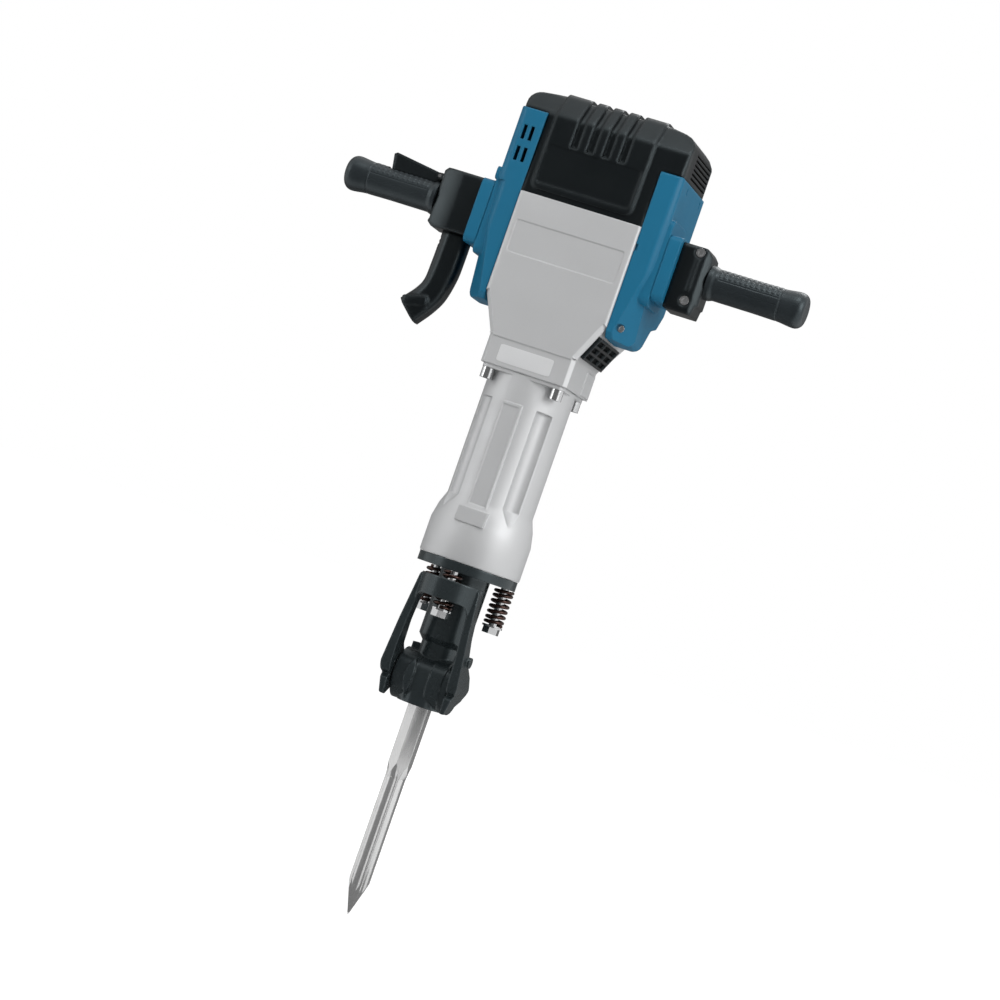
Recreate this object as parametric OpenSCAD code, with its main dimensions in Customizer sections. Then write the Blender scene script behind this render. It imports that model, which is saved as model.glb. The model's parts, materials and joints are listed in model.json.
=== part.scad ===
// Electric breaker hammer: hexagon chisel, spring-tied front head with a swing yoke, cast barrel,
// gear housing with a crank drive, transverse motor under a hood, and two sprung side handles.
// Millimetres, +Z up along the tool axis, chisel point at the origin, front towards -Y.

/* [Chisel] */
// Width of the hexagon shank across its flats
hex_af = 28; // [24:0.5:30]
// Length of the chisel
chisel_len = 400; // [390:1:410]
// Length of chisel below the front head
chisel_out = 283; // [278:1:288]
// Length of the sharpened point
point_len = 48; // [40:1:56]
// Length of the fluted stretch above the point
flute_len = 136; // [120:1:150]
// Radius of the flutes on the six corners
flute_r = 8.5; // [6:0.5:8.5]
// Depth of the flutes below the corners
flute_depth = 6.8; // [3:0.2:6.8]
// Travel of the chisel in its holder
tool_travel = 30; // [24:1:32]

/* [Front head] */
// Height of the front head, foot to flange top
head_h = 191; // [188:1:200]
// Radius of the cross barrel at the foot
cross_r = 34; // [32:0.5:36]
// Half length of the cross barrel
cross_half = 38; // [36:0.5:40]
// Radius of the column under the flange
column_r = 33; // [31:0.5:35]
// Height of the column below the flange
column_h = 88; // [80:1:92]
// Radius of the neck between column and cross barrel
neck_r = 26; // [25.5:0.5:28]
// Radius of the flange
flange_r = 66.5; // [66:0.5:70]
// Thickness of the flange
flange_t = 13; // [10:0.5:15]
// Outer radius of the hexagon sleeve
sleeve_r = 22; // [20.5:0.5:23]

/* [Tie bolts and springs] */
// Number of tie bolts
tie_count = 3; // [3:1:3]
// Radius of the tie bolt circle
tie_ring = 55.5; // [54:0.5:56]
// Radius of a tie bolt's shank
tie_r = 5.5; // [5:0.5:6.5]
// Length of a tie spring
spring_len = 50; // [46:1:56]
// Mean radius of a tie spring
spring_r = 11.5; // [10.8:0.1:11.8]
// Radius of the spring wire
wire_r = 2.1; // [1.8:0.1:2.2]
// Number of turns in a tie spring
spring_turns = 7; // [5:1:8]
// Thickness of a tie bolt's head
tie_head_t = 11; // [8:0.5:12]

/* [Retainer yoke] */
// Radius of the cross bar that holds the chisel
bar_r = 9; // [8:0.5:10]
// Depth to which the bar bites into the shank
bar_bite = 5.2; // [4:0.1:6]
// Height of the bar axis above the foot of the head
bar_rise = 40; // [39:0.5:44]
// Thickness of a yoke arm at the cross bar
arm_t = 14.5; // [13:0.5:16]
// Thickness of a yoke arm at its top
arm_top_t = 9; // [8:0.5:11]
// Width of a yoke arm at mid height
arm_w = 19; // [17:0.5:22]
// Height of the yoke above the bar axis
yoke_rise = 126; // [122:1:130]
// Forward lean of the yoke's top from the bar axis
yoke_lean = 30; // [26:1:32]
// Half width of the yoke at its top
yoke_top_half = 41; // [40:0.5:44]
// Height of the yoke's crossbar
bow_h = 26; // [20:1:28]
// Wall of the bowed crossbar
bow_t = 9; // [7:0.5:10]

/* [Barrel] */
// Height of the barrel, flange to mounting face
barrel_h = 253; // [249:1:258]
// Radius of the barrel
barrel_r = 58; // [56:0.5:60]
// Radius of the bell at the foot
bell_r = 68; // [67:0.5:70]
// Height of the bell's straight part
bell_h = 46; // [40:1:50]
// Height of the ramp above the bell
ramp_h = 36; // [30:1:40]
// Radius of the wrench channels in line with the bolts
channel_r = 17; // [15:0.5:18]
// Inset of the four mounting bolts from the edges of the collar
bolt_inset = 12; // [11:0.5:14]
// Radius of a mounting bolt's shank
bolt_r = 5; // [4:0.5:6]
// Thickness of the barrel's mounting flange
mount_t = 5; // [4:0.5:7]

/* [Gear housing] */
// Width of the collar on the barrel
collar_w = 120; // [118:1:124]
// Depth of the collar
collar_d = 120; // [116:1:124]
// Height of the collar
collar_h = 38; // [34:1:42]
// Height of the taper above the collar
taper_h = 51; // [46:1:56]
// Height of the front panel
panel_h = 135; // [130:1:138]
// Width of the front panel
panel_w = 168; // [166:1:172]
// Distance of the back face from the tool axis
back_y = 82; // [80:1:86]
// Wall of the gear housing
housing_wall = 6; // [4:0.5:6]

/* [Motor hood] */
// Height of the hood above the gear housing
hood_h = 143; // [139:1:147]
// Wall of the hood
hood_wall = 4; // [3:0.5:5]
// Half width of the raised centre panel
rib_half = 69; // [66:1:71]
// Height by which the centre panel stands proud
rib_proud = 4; // [3:0.5:5]
// Number of grooves over the hood
groove_count = 4; // [3:1:5]
// Spacing of the grooves
groove_pitch = 22; // [20:0.5:24]
// Width of a groove
groove_w = 9.5; // [8:0.5:11]

/* [Side covers] */
// Thickness of a side cover across the tool
cover_t = 32; // [30:0.5:34]
// Wall of a side cover
cover_wall = 4; // [3:0.5:5]
// Rise of the left cover's top above the gear housing
left_cover_rise = 106; // [96:1:107]
// Rise of the right cover's top above the gear housing
right_cover_rise = 76; // [70:1:80]
// Swell of the left cover beside the hood
left_swell = 5; // [3:0.5:6]
// Height by which the handle boss stands proud of a cover
boss_t = 6; // [5:0.5:8]

/* [Handles] */
// Drop of the handle axis below the hood seam
handle_drop = 37; // [34:1:40]
// Distance of the handle axis in front of the tool axis
handle_fwd = 15; // [12:1:18]
// Travel of a handle on its spring
handle_travel = 12; // [8:1:14]
// Thickness of a slider block
slider_t = 17; // [15:0.5:19]
// Height of the left hub
left_hub_h = 80; // [76:1:84]
// Height of the right hub
right_hub_h = 88; // [84:1:90]
// Drop of the right hub's middle below the handle axis
right_hub_drop = 6; // [4:0.5:7]
// Height of a slider block
slider_h = 87; // [84:1:90]
// Depth of a slider block
slider_d = 74; // [72:1:78]
// Depth of a hub
hub_d = 54; // [50:1:58]
// Length of the left hub, which holds the switch
left_hub_len = 60; // [56:1:66]
// Length of the right hub
right_hub_len = 42; // [40:1:48]
// Length of a grip
grip_len = 131; // [120:1:140]
// Radius of a grip
grip_r = 21; // [20:0.5:22]
// Radius of a grip's flared end
grip_end_r = 23.5; // [23:0.5:25]
// Radius of the guide rod in each cover
guide_r = 6; // [5:0.5:7]

/* [Trigger and cord arm] */
// Length of the trigger lever
lever_len = 74; // [66:1:80]
// Width of the trigger lever
lever_w = 18; // [16:1:19]
// Depth of the cord arm
arm_depth = 36; // [32:1:40]
// Width of the cord arm at its top
arm_width = 39; // [36:1:42]
// Drop of the cord arm's mouth below the left hub
arm_drop = 126; // [120:1:132]
// Radius of the cord inlet
cord_r = 7; // [6:0.5:8]
// Length of the cord inlet
cord_len = 40; // [30:1:44]

/* [Hammer mechanism] */
// Radius of the piston
piston_r = 27; // [26:0.5:28]
// Stroke of the piston
stroke = 48; // [44:1:50]
// Length of the connecting rod between its pins
rod_len = 120; // [116:1:124]
// Wall of the cylinder tube
tube_wall = 5; // [4:0.5:5.5]
// Length of the ram
ram_len = 80; // [70:1:84]
// Length of the striker
striker_len = 130; // [120:1:134]
// Radius of the striker's lower end
striker_r = 17.5; // [16:0.5:17.5]

/* [Gear train] */
// Tooth module of the crank gear and its pinion
crank_module = 2; // [2:0.1:2]
// Teeth on the crank gear
crank_teeth = 50; // [46:1:50]
// Tooth module of the idler gear and the motor pinion
idler_module = 1.5; // [1.5:0.1:1.5]
// Teeth on the idler gear
idler_teeth = 66; // [60:1:66]
// Teeth on each pinion
pinion_teeth = 14; // [14:1:15]
// Tilt of the idler axis behind the crank axis
idler_tilt = 15; // [12:1:18]

/* [Motor] */
// Outer radius of the stator
stator_r = 50; // [47:0.5:51]
// Radius of the rotor core
rotor_r = 30; // [28:0.5:31]
// Length of the stator and rotor core
core_len = 54; // [50:1:56]
// Radius of the commutator
commutator_r = 17; // [15:0.5:18]
// Radius of the cooling fan
fan_r = 42; // [38:0.5:44]

/* [Hidden] */
$fn = 64;
// Clearance between pieces that move past each other
gap = 0.3;
// Radial clearance of a running fit
fit = 0.05;
// Clearance round a piece that is seated in another
seat = 0.1;
// Overlap that joins two shapes of one piece
join = 1;

// Heights up the tool axis
foot_z = chisel_out;
flange_z = foot_z + head_h;
mount_z = flange_z + barrel_h;
collar_z = mount_z + collar_h;
panel_z = collar_z + taper_h;
seam_z = panel_z + panel_h;
top_z = seam_z + hood_h;

// Faces of the head across the tool
front_y = -collar_d / 2;
panel_x = panel_w / 2;
cover_x = panel_x + cover_t;
boss_x = cover_x + boss_t;
slider_x = boss_x + slider_t;
cover_front = front_y + 3;
cover_back = back_y + 6;
edge_cut = 6;
collar_step = 1;

// Chisel and its holder
hex_r = hex_af / sqrt(3);
bar_y = -(hex_r + bar_r - bar_bite);
bar_z = foot_z + bar_rise;
notch_y = bar_y + bar_r + gap;
flute_ring = hex_r + flute_r - flute_depth;
flute_tilt = 20;
sleeve_z0 = foot_z + 6;
sleeve_z1 = chisel_len - 15;
column_z = flange_z - flange_t - column_h;
cross_fwd = 6;
cross_z = foot_z + cross_r;
head_bore = striker_r + 0.4;

// Tie bolts
spring_top = flange_z - flange_t - gap;
spring_foot = spring_top - spring_len;
tie_seat_r = spring_r + wire_r;
tie_seat_t = 2.5;
tie_hex_r = tie_seat_r - 2;
tie_depth = 20;

// Yoke
arm_x = cross_half + 2;
yoke_z = bar_z + yoke_rise;
yoke_y = bar_y - yoke_lean;
bow_front = tie_ring + spring_r + wire_r + 3 + bow_t / 2;
bow_end = yoke_top_half - arm_top_t / 2;
bow_rise = bow_front + yoke_y;
bow_r = (bow_end * bow_end + bow_rise * bow_rise) / (2 * bow_rise);
bow_y = bow_r - bow_front;
yoke_foot = foot_z + 1;
bar_end = arm_x + arm_t - 5;
window_r = 9;

// Hammer mechanism, all at the lowest point of its stroke
crank_pitch = crank_module * crank_teeth / 2;
crank_z = panel_z + crank_pitch + crank_module + 4;
crank_throw = stroke / 2;
crank_pin_z = crank_z - crank_throw;
wrist_z = crank_pin_z - rod_len;
rod_half = 9;
rod_eye_r = 18;
crank_pin_r = 9;
wrist_r = 8;
piston_below = 38;
piston_above = 14;
tube_r = piston_r + fit + tube_wall;
ram_z1 = wrist_z - piston_below - 10;
ram_z0 = ram_z1 - ram_len;
strike_share = 0.4;
striker_z0 = chisel_len + (1 - strike_share) * tool_travel + 2 * gap;
striker_z1 = striker_z0 + striker_len;
striker_head_r = striker_r + 5;
striker_head_h = 36;
guide_z0 = flange_z + 4;
guide_floor = striker_z1 - striker_head_h - gap;
guide_z1 = striker_z1 + strike_share * tool_travel + 8;
tube_z1 = wrist_z + stroke + 5;

// Gear train, with every axis along X
pinion_r = crank_module * pinion_teeth / 2;
crank_axis = [0, crank_z];
idler_axis = crank_axis + (crank_pitch + pinion_r) * [sin(idler_tilt), cos(idler_tilt)];
idler_pitch = idler_module * idler_teeth / 2;
rotor_axis = idler_axis + [0, idler_pitch + idler_module * pinion_teeth / 2];
pressure = 20;
tooth_slack = 0.16;
addendum = 0.8;
dedendum = 1.2;
shaft_r = 12;
idler_shaft_r = 7;
rotor_shaft_r = 7;
web_x0 = 24;
web_x1 = 40;
crank_gear_x0 = 44;
crank_gear_x1 = 56;
idler_gear_x0 = 60;
idler_gear_x1 = 72;
plate_x0 = 75;
plate_x1 = panel_x - 2;
gear_room_foot = max(collar_z + housing_wall, crank_z - crank_pitch - crank_module - 3);
crank_bearing_r = 22;
idler_bearing_r = 13;
crank_disc_r = 36;

// Motor
core_x1 = 14;
core_x0 = core_x1 - core_len;
fan_x0 = core_x1 + 13;
fan_x1 = fan_x0 + 11;
bracket_x0 = 42;
bracket_x1 = 56;
commutator_x1 = core_x0 - 12;
commutator_x0 = commutator_x1 - 12;
rotor_bearing_r = 16;
tail_x1 = commutator_x0 - 5;
tail_x0 = tail_x1 - 10;
bracket_rim = 11;

// Handles
handle_z = seam_z - handle_drop;
handle_y = -handle_fwd;
slider_low = 2.5;
tongue_h = 30;
tongue_w = 36;
guide_x = panel_x + cover_t / 2;
rod_foot = handle_z - 50;
shelf_t = 6;
spring_outer = guide_r + 6;
lever_pin_r = 2.5;
lever_hinge_x = -(slider_x + left_hub_len + 5);
lever_hinge_z = handle_z + grip_r + 7;
lever_tip_x = lever_hinge_x - lever_len + 4;
lever_room_z = handle_z + 12;

silver = "#c4c6c8";
blue = "#1f74a3";
black = "#2a3033";
rubber = "#33393c";
forged = "#3c4448";
steel = "#a9adb0";
copper = "#8a5a3c";
brass = "#b48c46";
zinc = "#d4d6d8";

// A vector of length one
function unit(v) = v / norm(v);

// The same turn between -180 and 180 degrees
function turn(a) = a > 180 ? a - 360 : a < -180 ? a + 360 : a;

// Points on an arc about a centre
function arc(c, r, a0, a1, n) =
    [for (i = [0:n]) c + r * [cos(a0 + (a1 - a0) * i / n), sin(a0 + (a1 - a0) * i / n)]];

// The corner at b of an outline a, b, c, replaced by an arc that touches both sides
function corner(a, b, c, r, n) =
    r <= 0 ? [b] :
    let (u = unit(a - b), w = unit(c - b), half = acos(max(-1, min(1, u * w))) / 2,
         m = b + unit(u + w) * r / sin(half), p = b + u * r / tan(half), q = b + w * r / tan(half),
         a0 = atan2(p[1] - m[1], p[0] - m[0]), a1 = atan2(q[1] - m[1], q[0] - m[0]))
    arc(m, r, a0, a0 + turn(a1 - a0), n);

// An outline with rounded corners, by one radius or by a list of them
function rounded(pts, r, n = 4) =
    let (k = len(pts))
    [for (i = [0:k - 1])
        each corner(pts[(i + k - 1) % k], pts[i], pts[(i + 1) % k], is_list(r) ? r[i] : r, n)];

// A rounded rectangle between two opposite corners
function rounded_box(lo, hi, r, n = 4) = rounded([lo, [hi[0], lo[1]], hi, [lo[0], hi[1]]], r, n);

// The angle between a radius line and the involute that it meets
function involute_angle(a) = tan(a) * 180 / PI - a;

// Half the angle that a tooth takes up at a radius
function tooth_half(m, z, rho) =
    let (r = m * z / 2, base = r * cos(pressure))
    90 / z - tooth_slack / r * 180 / PI + involute_angle(pressure)
    - (rho > base ? involute_angle(acos(base / rho)) : 0);

// The outline of a spur gear with a tooth centred on the phase angle
function gear_outline(m, z, phase) =
    let (r = m * z / 2, base = r * cos(pressure), root = r - dedendum * m, tip = r + addendum * m,
         foot = max(root + 0.05, base), radii = [root, foot, (foot + tip) / 2, tip])
    [for (i = [0:z - 1], k = [0:7])
        let (rho = radii[k < 4 ? k : 7 - k], side = k < 4 ? -1 : 1,
             a = phase + 360 * i / z + side * tooth_half(m, z, rho))
        rho * [cos(a), sin(a)]];

// A slab with an outline in Y and Z, between two places along X
module slab_x(pts, x0, x1) {
    translate([x0, 0, 0]) rotate([90, 0, 90]) linear_extrude(x1 - x0) polygon(pts);
}

// A slab with an outline in X and Z, between two places along Y
module slab_y(pts, y0, y1) {
    translate([0, y1, 0]) rotate([90, 0, 0]) linear_extrude(y1 - y0) polygon(pts);
}

// A slab with an outline in X and Y, between two heights
module slab_z(pts, z0, z1) {
    translate([0, 0, z0]) linear_extrude(z1 - z0) polygon(pts);
}

// A box between two opposite corners
module block(lo, hi) {
    translate(lo) cube(hi - lo);
}

// A round bar along X about an axis given in Y and Z
module rod_x(r, x0, x1, axis) {
    translate([x0, axis[0], axis[1]]) rotate([0, 90, 0]) cylinder(r = r, h = x1 - x0);
}

// A round bar along Y about an axis given in X and Z
module rod_y(r, y0, y1, axis) {
    translate([axis[0], y1, axis[1]]) rotate([90, 0, 0]) cylinder(r = r, h = y1 - y0);
}

// A round bar along Z about an axis given in X and Y
module rod_z(r, z0, z1, axis = [0, 0]) {
    translate([axis[0], axis[1], z0]) cylinder(r = r, h = z1 - z0);
}

// A ring along X
module ring_x(outer, inner, x0, x1, axis) {
    difference() {
        rod_x(outer, x0, x1, axis);
        rod_x(inner, x0 - join, x1 + join, axis);
    }
}

// A ring along Z
module ring_z(outer, inner, z0, z1, axis = [0, 0]) {
    difference() {
        rod_z(outer, z0, z1, axis);
        rod_z(inner, z0 - join, z1 + join, axis);
    }
}

// A body turned about the tool axis from an outline of radius and height
module turned(pts) {
    rotate_extrude() polygon(pts);
}

// Copies on the three tie bolt places
module on_ties() {
    for (i = [0:tie_count - 1])
        rotate([0, 0, 360 / tie_count * i - 90]) translate([tie_ring, 0, 0]) children();
}

// Copies on the four mounting bolt places
module on_bolts() {
    for (x = [-1, 1], y = [-1, 1])
        translate([x * (collar_w / 2 - bolt_inset), y * (collar_d / 2 - bolt_inset), 0]) children();
}

module chisel() {
    color(zinc)
    difference() {
        intersection() {
            rotate([0, 0, 30]) cylinder(r = hex_r, h = chisel_len, $fn = 6);
            turned([[0, 0], [0.6, 0], [hex_af / 2 + 0.6, point_len], [hex_r + join, point_len + 14],
                [hex_r + join, chisel_len - 3], [hex_r - 2, chisel_len], [0, chisel_len]]);
        }
        for (i = [0:5]) rotate([0, 0, 30 + 60 * i]) translate([flute_ring, 0, point_len + flute_len]) {
            rod_z(flute_r, -flute_len - point_len / 2, 2);
            rotate([0, flute_tilt, 0]) rod_z(flute_r, -2, flute_depth / sin(flute_tilt) + flute_r + 4);
        }
        block([-hex_r, -hex_r - join, bar_z - bar_r - gap - tool_travel],
            [hex_r, notch_y, bar_z + bar_r + gap]);
    }
}

module front_head() {
    crest_r = cross_r * 1.6;
    crest_w = 6;
    crest_x = -cross_half * 0.42;
    crest_a = acos(1 - crest_w / crest_r);
    crest = concat(arc([crest_x + crest_r - crest_w, cross_z], crest_r, 180 + crest_a, 180 - crest_a, 8),
        arc([crest_x - crest_r + crest_w, cross_z], crest_r, crest_a * 0.75, -crest_a * 0.75, 6));
    color(forged)
    difference() {
        union() {
            rod_z(flange_r, flange_z - flange_t, flange_z - gap);
            rod_z(column_r, column_z, flange_z - flange_t + join);
            turned([[0, column_z + join], [0, column_z - 8], [neck_r, column_z - 8], [column_r, column_z],
                [column_r, column_z + join]]);
            rod_z(neck_r, cross_z, column_z - 7);
            rod_x(cross_r, -cross_half, cross_half, [-cross_fwd, cross_z]);
            rod_z(cross_r - 4, foot_z, cross_z, [0, -cross_fwd]);
            block([-cross_half, 0, cross_z], [cross_half, cross_r - 10, cross_z + cross_r + 8]);
            intersection() {
                rod_x(cross_r + 4, -cross_half, 0, [-cross_fwd, cross_z]);
                slab_y(crest, -cross_r * 2, -cross_fwd);
            }
            intersection() {
                rod_x(cross_r + 1.5, cross_half / 4, cross_half * 0.75, [-cross_fwd, cross_z]);
                block([0, -cross_r * 2, foot_z + 3], [cross_half, -cross_fwd, cross_z + cross_r]);
            }
        }
        rod_z(hex_r + 0.6, foot_z - join, sleeve_z0 + join);
        rod_z(sleeve_r + seat, sleeve_z0 - seat, sleeve_z1 + seat);
        rod_z(head_bore, sleeve_z1, flange_z + join);
        rod_x(bar_r + fit, -cross_half - join, cross_half + join, [bar_y, bar_z]);
        on_ties() {
            rod_z(tie_r + 0.5, flange_z - flange_t - join, flange_z + join);
            rod_z(tie_seat_r + 2, column_z - join, flange_z - flange_t);
        }
    }
}

module hex_sleeve() {
    color(steel)
    difference() {
        rod_z(sleeve_r, sleeve_z0, sleeve_z1);
        rotate([0, 0, 30]) translate([0, 0, foot_z]) cylinder(r = hex_r + gap, h = head_h, $fn = 6);
        rod_x(bar_r + gap, -sleeve_r - join, sleeve_r + join, [bar_y, bar_z]);
    }
}

module retainer_bar() {
    color(steel)
    difference() {
        rod_x(bar_r, -arm_x - arm_t, bar_end, [bar_y, bar_z]);
        block([-hex_r - 2, bar_y - bar_r - join, bar_z - bar_r - join],
            [hex_r + 2, bar_y - bar_r + bar_bite + 2 * gap, bar_z + bar_r + join]);
    }
}

module retainer_yoke() {
    bow_z = yoke_z - bow_h;
    shoulder_z = bar_z + 28;
    arm = rounded([[bar_y - 26, yoke_foot], [bar_y - 18, yoke_foot], [bar_y + 18, bar_z - 17],
        [bar_y + 22, bar_z - 1], [bar_y + 12, bar_z + 15], [bar_y - 10, bar_z + 31],
        [yoke_y + arm_w / 2, bar_z + 62], [yoke_y + arm_w / 2 - 2, yoke_z], [yoke_y - arm_w / 2 + 1, yoke_z],
        [yoke_y - arm_w / 2 - 1, bar_z + 60], [bar_y - 36, bar_z + 2], [bar_y - 31, bar_z - 9],
        [bar_y - 23, bar_z - 13], [bar_y - 29, bar_z - 19]],
        [3, 4, 6, 5, 5, 10, 20, 5, 3, 30, 8, 3, 1, 3]);
    face = rounded([[arm_x - 3, yoke_foot], [arm_x + arm_t - 9, yoke_foot], [arm_x + arm_t - 4, bar_z - 14],
        [arm_x + arm_t, bar_z - 4], [yoke_top_half, yoke_z], [yoke_top_half - arm_top_t, yoke_z],
        [yoke_top_half - arm_top_t, shoulder_z]], [0, 3, 4, 30, 6, 1, 0]);
    window = rounded([[-arm_x, yoke_foot - join], [arm_x, yoke_foot - join], [arm_x, shoulder_z],
        [bow_end - 2, bow_z], [2 - bow_end, bow_z], [-arm_x, shoulder_z]],
        [0, 0, 30, window_r, window_r, 30]);
    color(forged)
    difference() {
        union() {
            for (s = [0, 1]) mirror([s, 0, 0]) {
                intersection() {
                    slab_x(arm, bow_end - arm_t, arm_x + arm_t + 2);
                    slab_y(face, yoke_y - arm_w, bar_y + arm_w * 2);
                }
                rod_x(7, arm_x + 4, arm_x + arm_t, [yoke_y + 16, bar_z + 34]);
            }
            intersection() {
                ring_z(bow_r + bow_t / 2, bow_r - bow_t / 2, bow_z - window_r, yoke_z, [0, bow_y]);
                block([-arm_x - arm_t, -bow_front - bow_t, bow_z - window_r - join],
                    [arm_x + arm_t, yoke_y + 4, yoke_z + join]);
            }
        }
        slab_y(window, -boss_x, boss_x);
        rod_x(bar_r + seat, -boss_x, bar_end + seat, [bar_y, bar_z]);
    }
}

module tie_bolts() {
    color(zinc)
    on_ties() {
        rod_z(tie_r, spring_foot - tie_head_t, flange_z + tie_depth);
        rod_z(tie_seat_r, spring_foot - tie_seat_t, spring_foot);
        translate([0, 0, spring_foot - tie_head_t])
            cylinder(r = tie_hex_r, h = tie_head_t - join, $fn = 6);
    }
}

// Turn of the helix at each ring, eight rings to a curl
curl_rings = 8;
tube_sides = 6;
helix_foot = spring_foot + 2 * wire_r;
helix_rise = spring_len - 4 * wire_r;
spring_path = concat([[spring_r, 0, spring_foot]],
    [for (i = [0:spring_turns * curl_rings])
        let (a = 360 * i / curl_rings)
        [spring_r * cos(a), spring_r * sin(a), helix_foot + helix_rise * i / (spring_turns * curl_rings)]],
    [[spring_r, 0, spring_top]]);

// Direction of a path at one of its points, square to the seats at both ends
function heading(path, i) =
    i == 0 || i == len(path) - 1 ? [0, 0, 1] : unit(path[i + 1] - path[i - 1]);

// Points of the tube's rings along a path
function tube_points(path, r, sides) =
    [for (i = [0:len(path) - 1])
        let (t = heading(path, i), out = unit([path[i][0], path[i][1], 0]),
             n = unit(out - (out * t) * t), b = cross(t, n))
        for (k = [0:sides - 1]) path[i] + r * (cos(360 * k / sides) * n + sin(360 * k / sides) * b)];

// Triangles of the tube's wall and ends
function tube_faces(rings, sides) =
    concat([for (i = [0:rings - 2], k = [0:sides - 1])
            let (a = i * sides + k, b = i * sides + (k + 1) % sides)
            each [[a, a + sides, b], [b, a + sides, b + sides]]],
        [for (k = [1:sides - 2]) [0, k, k + 1]],
        [for (k = [1:sides - 2]) let (e = (rings - 1) * sides) [e, e + k + 1, e + k]]);

// Least distance between points of the wire that are half a turn or more apart
wire_gap = min([for (i = [0:len(spring_path) - 1], j = [i + curl_rings / 2:1:len(spring_path) - 1])
    norm(spring_path[i] - spring_path[j])]) - 2 * wire_r;
echo(least_gap_of_tie_spring = wire_gap);

module tie_springs() {
    color(copper)
    on_ties() polyhedron(tube_points(spring_path, wire_r, tube_sides),
        tube_faces(len(spring_path), tube_sides), convexity = 10);
}

// Heads of the barrel bolts, and the outline of the mounting flange, a little inside the collar above it
bolt_head_r = bolt_r + 3.5;
bolt_head_h = 14;
bolt_head_z = mount_z - mount_t - bolt_head_h;
bolt_end_gap = 10;
mount_outline = rounded_box([3 - collar_w / 2, front_y + 3], [collar_w / 2 - 3, -front_y - 3], 9);

module barrel() {
    bell_top = flange_z + bell_h;
    ramp_top = bell_top + ramp_h;
    strip_half = 14;
    strip_top = mount_z - mount_t - 34;
    color(silver)
    difference() {
        union() {
            turned([[0, flange_z], [bell_r - 1, flange_z], [bell_r, flange_z + 2], [bell_r, bell_top],
                [bell_r - 4, bell_top + ramp_h * 0.55], [barrel_r, ramp_top], [barrel_r, mount_z - join],
                [0, mount_z - join]]);
            slab_z(mount_outline, mount_z - mount_t, mount_z);
            block([-strip_half, -barrel_r - 1.5, bell_top + 20], [strip_half, 0, strip_top]);
            block([-strip_half - 6, -bell_r - 0.5, bell_top + 4], [strip_half + 6, 0, bell_top + 24]);
        }
        block([3 - strip_half, -bell_r, bell_top + 30], [strip_half - 3, -barrel_r - 0.6, strip_top - 4]);
        on_bolts() {
            rod_z(channel_r, ramp_top, strip_top);
            translate([0, 0, ramp_top - 22]) cylinder(r1 = 2, r2 = channel_r, h = 22.01);
            rod_z(bolt_r + seat, mount_z - mount_t - join, mount_z + join);
            rod_z(bolt_head_r + gap, bolt_head_z - gap, mount_z - mount_t + seat);
        }
        rod_z(striker_r + 0.6, flange_z - join, flange_z + 5);
        rod_z(tube_r + seat, guide_z0, mount_z + join);
        on_ties() rod_z(tie_r + seat, flange_z - join, flange_z + tie_depth + seat);
    }
}

module barrel_bolts() {
    color(zinc)
    on_bolts() difference() {
        union() {
            rod_z(bolt_head_r, bolt_head_z, mount_z - mount_t);
            rod_z(bolt_r, mount_z - mount_t - join, mount_z + collar_h - bolt_end_gap);
        }
        translate([0, 0, bolt_head_z - join]) cylinder(r = bolt_r, h = bolt_head_h / 2, $fn = 6);
    }
}

// Slope of the taper's sides from upright, and their run
taper_slope = atan2(panel_x - collar_w / 2, taper_h);
taper_run = norm([panel_x - collar_w / 2, taper_h]);

// A cut along an upright edge at the origin, to be turned with the edge
module edge_cutter(h) {
    rotate([0, 0, -45]) block([-edge_cut / sqrt(2), -20, 0], [20, 20, h]);
}

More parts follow.
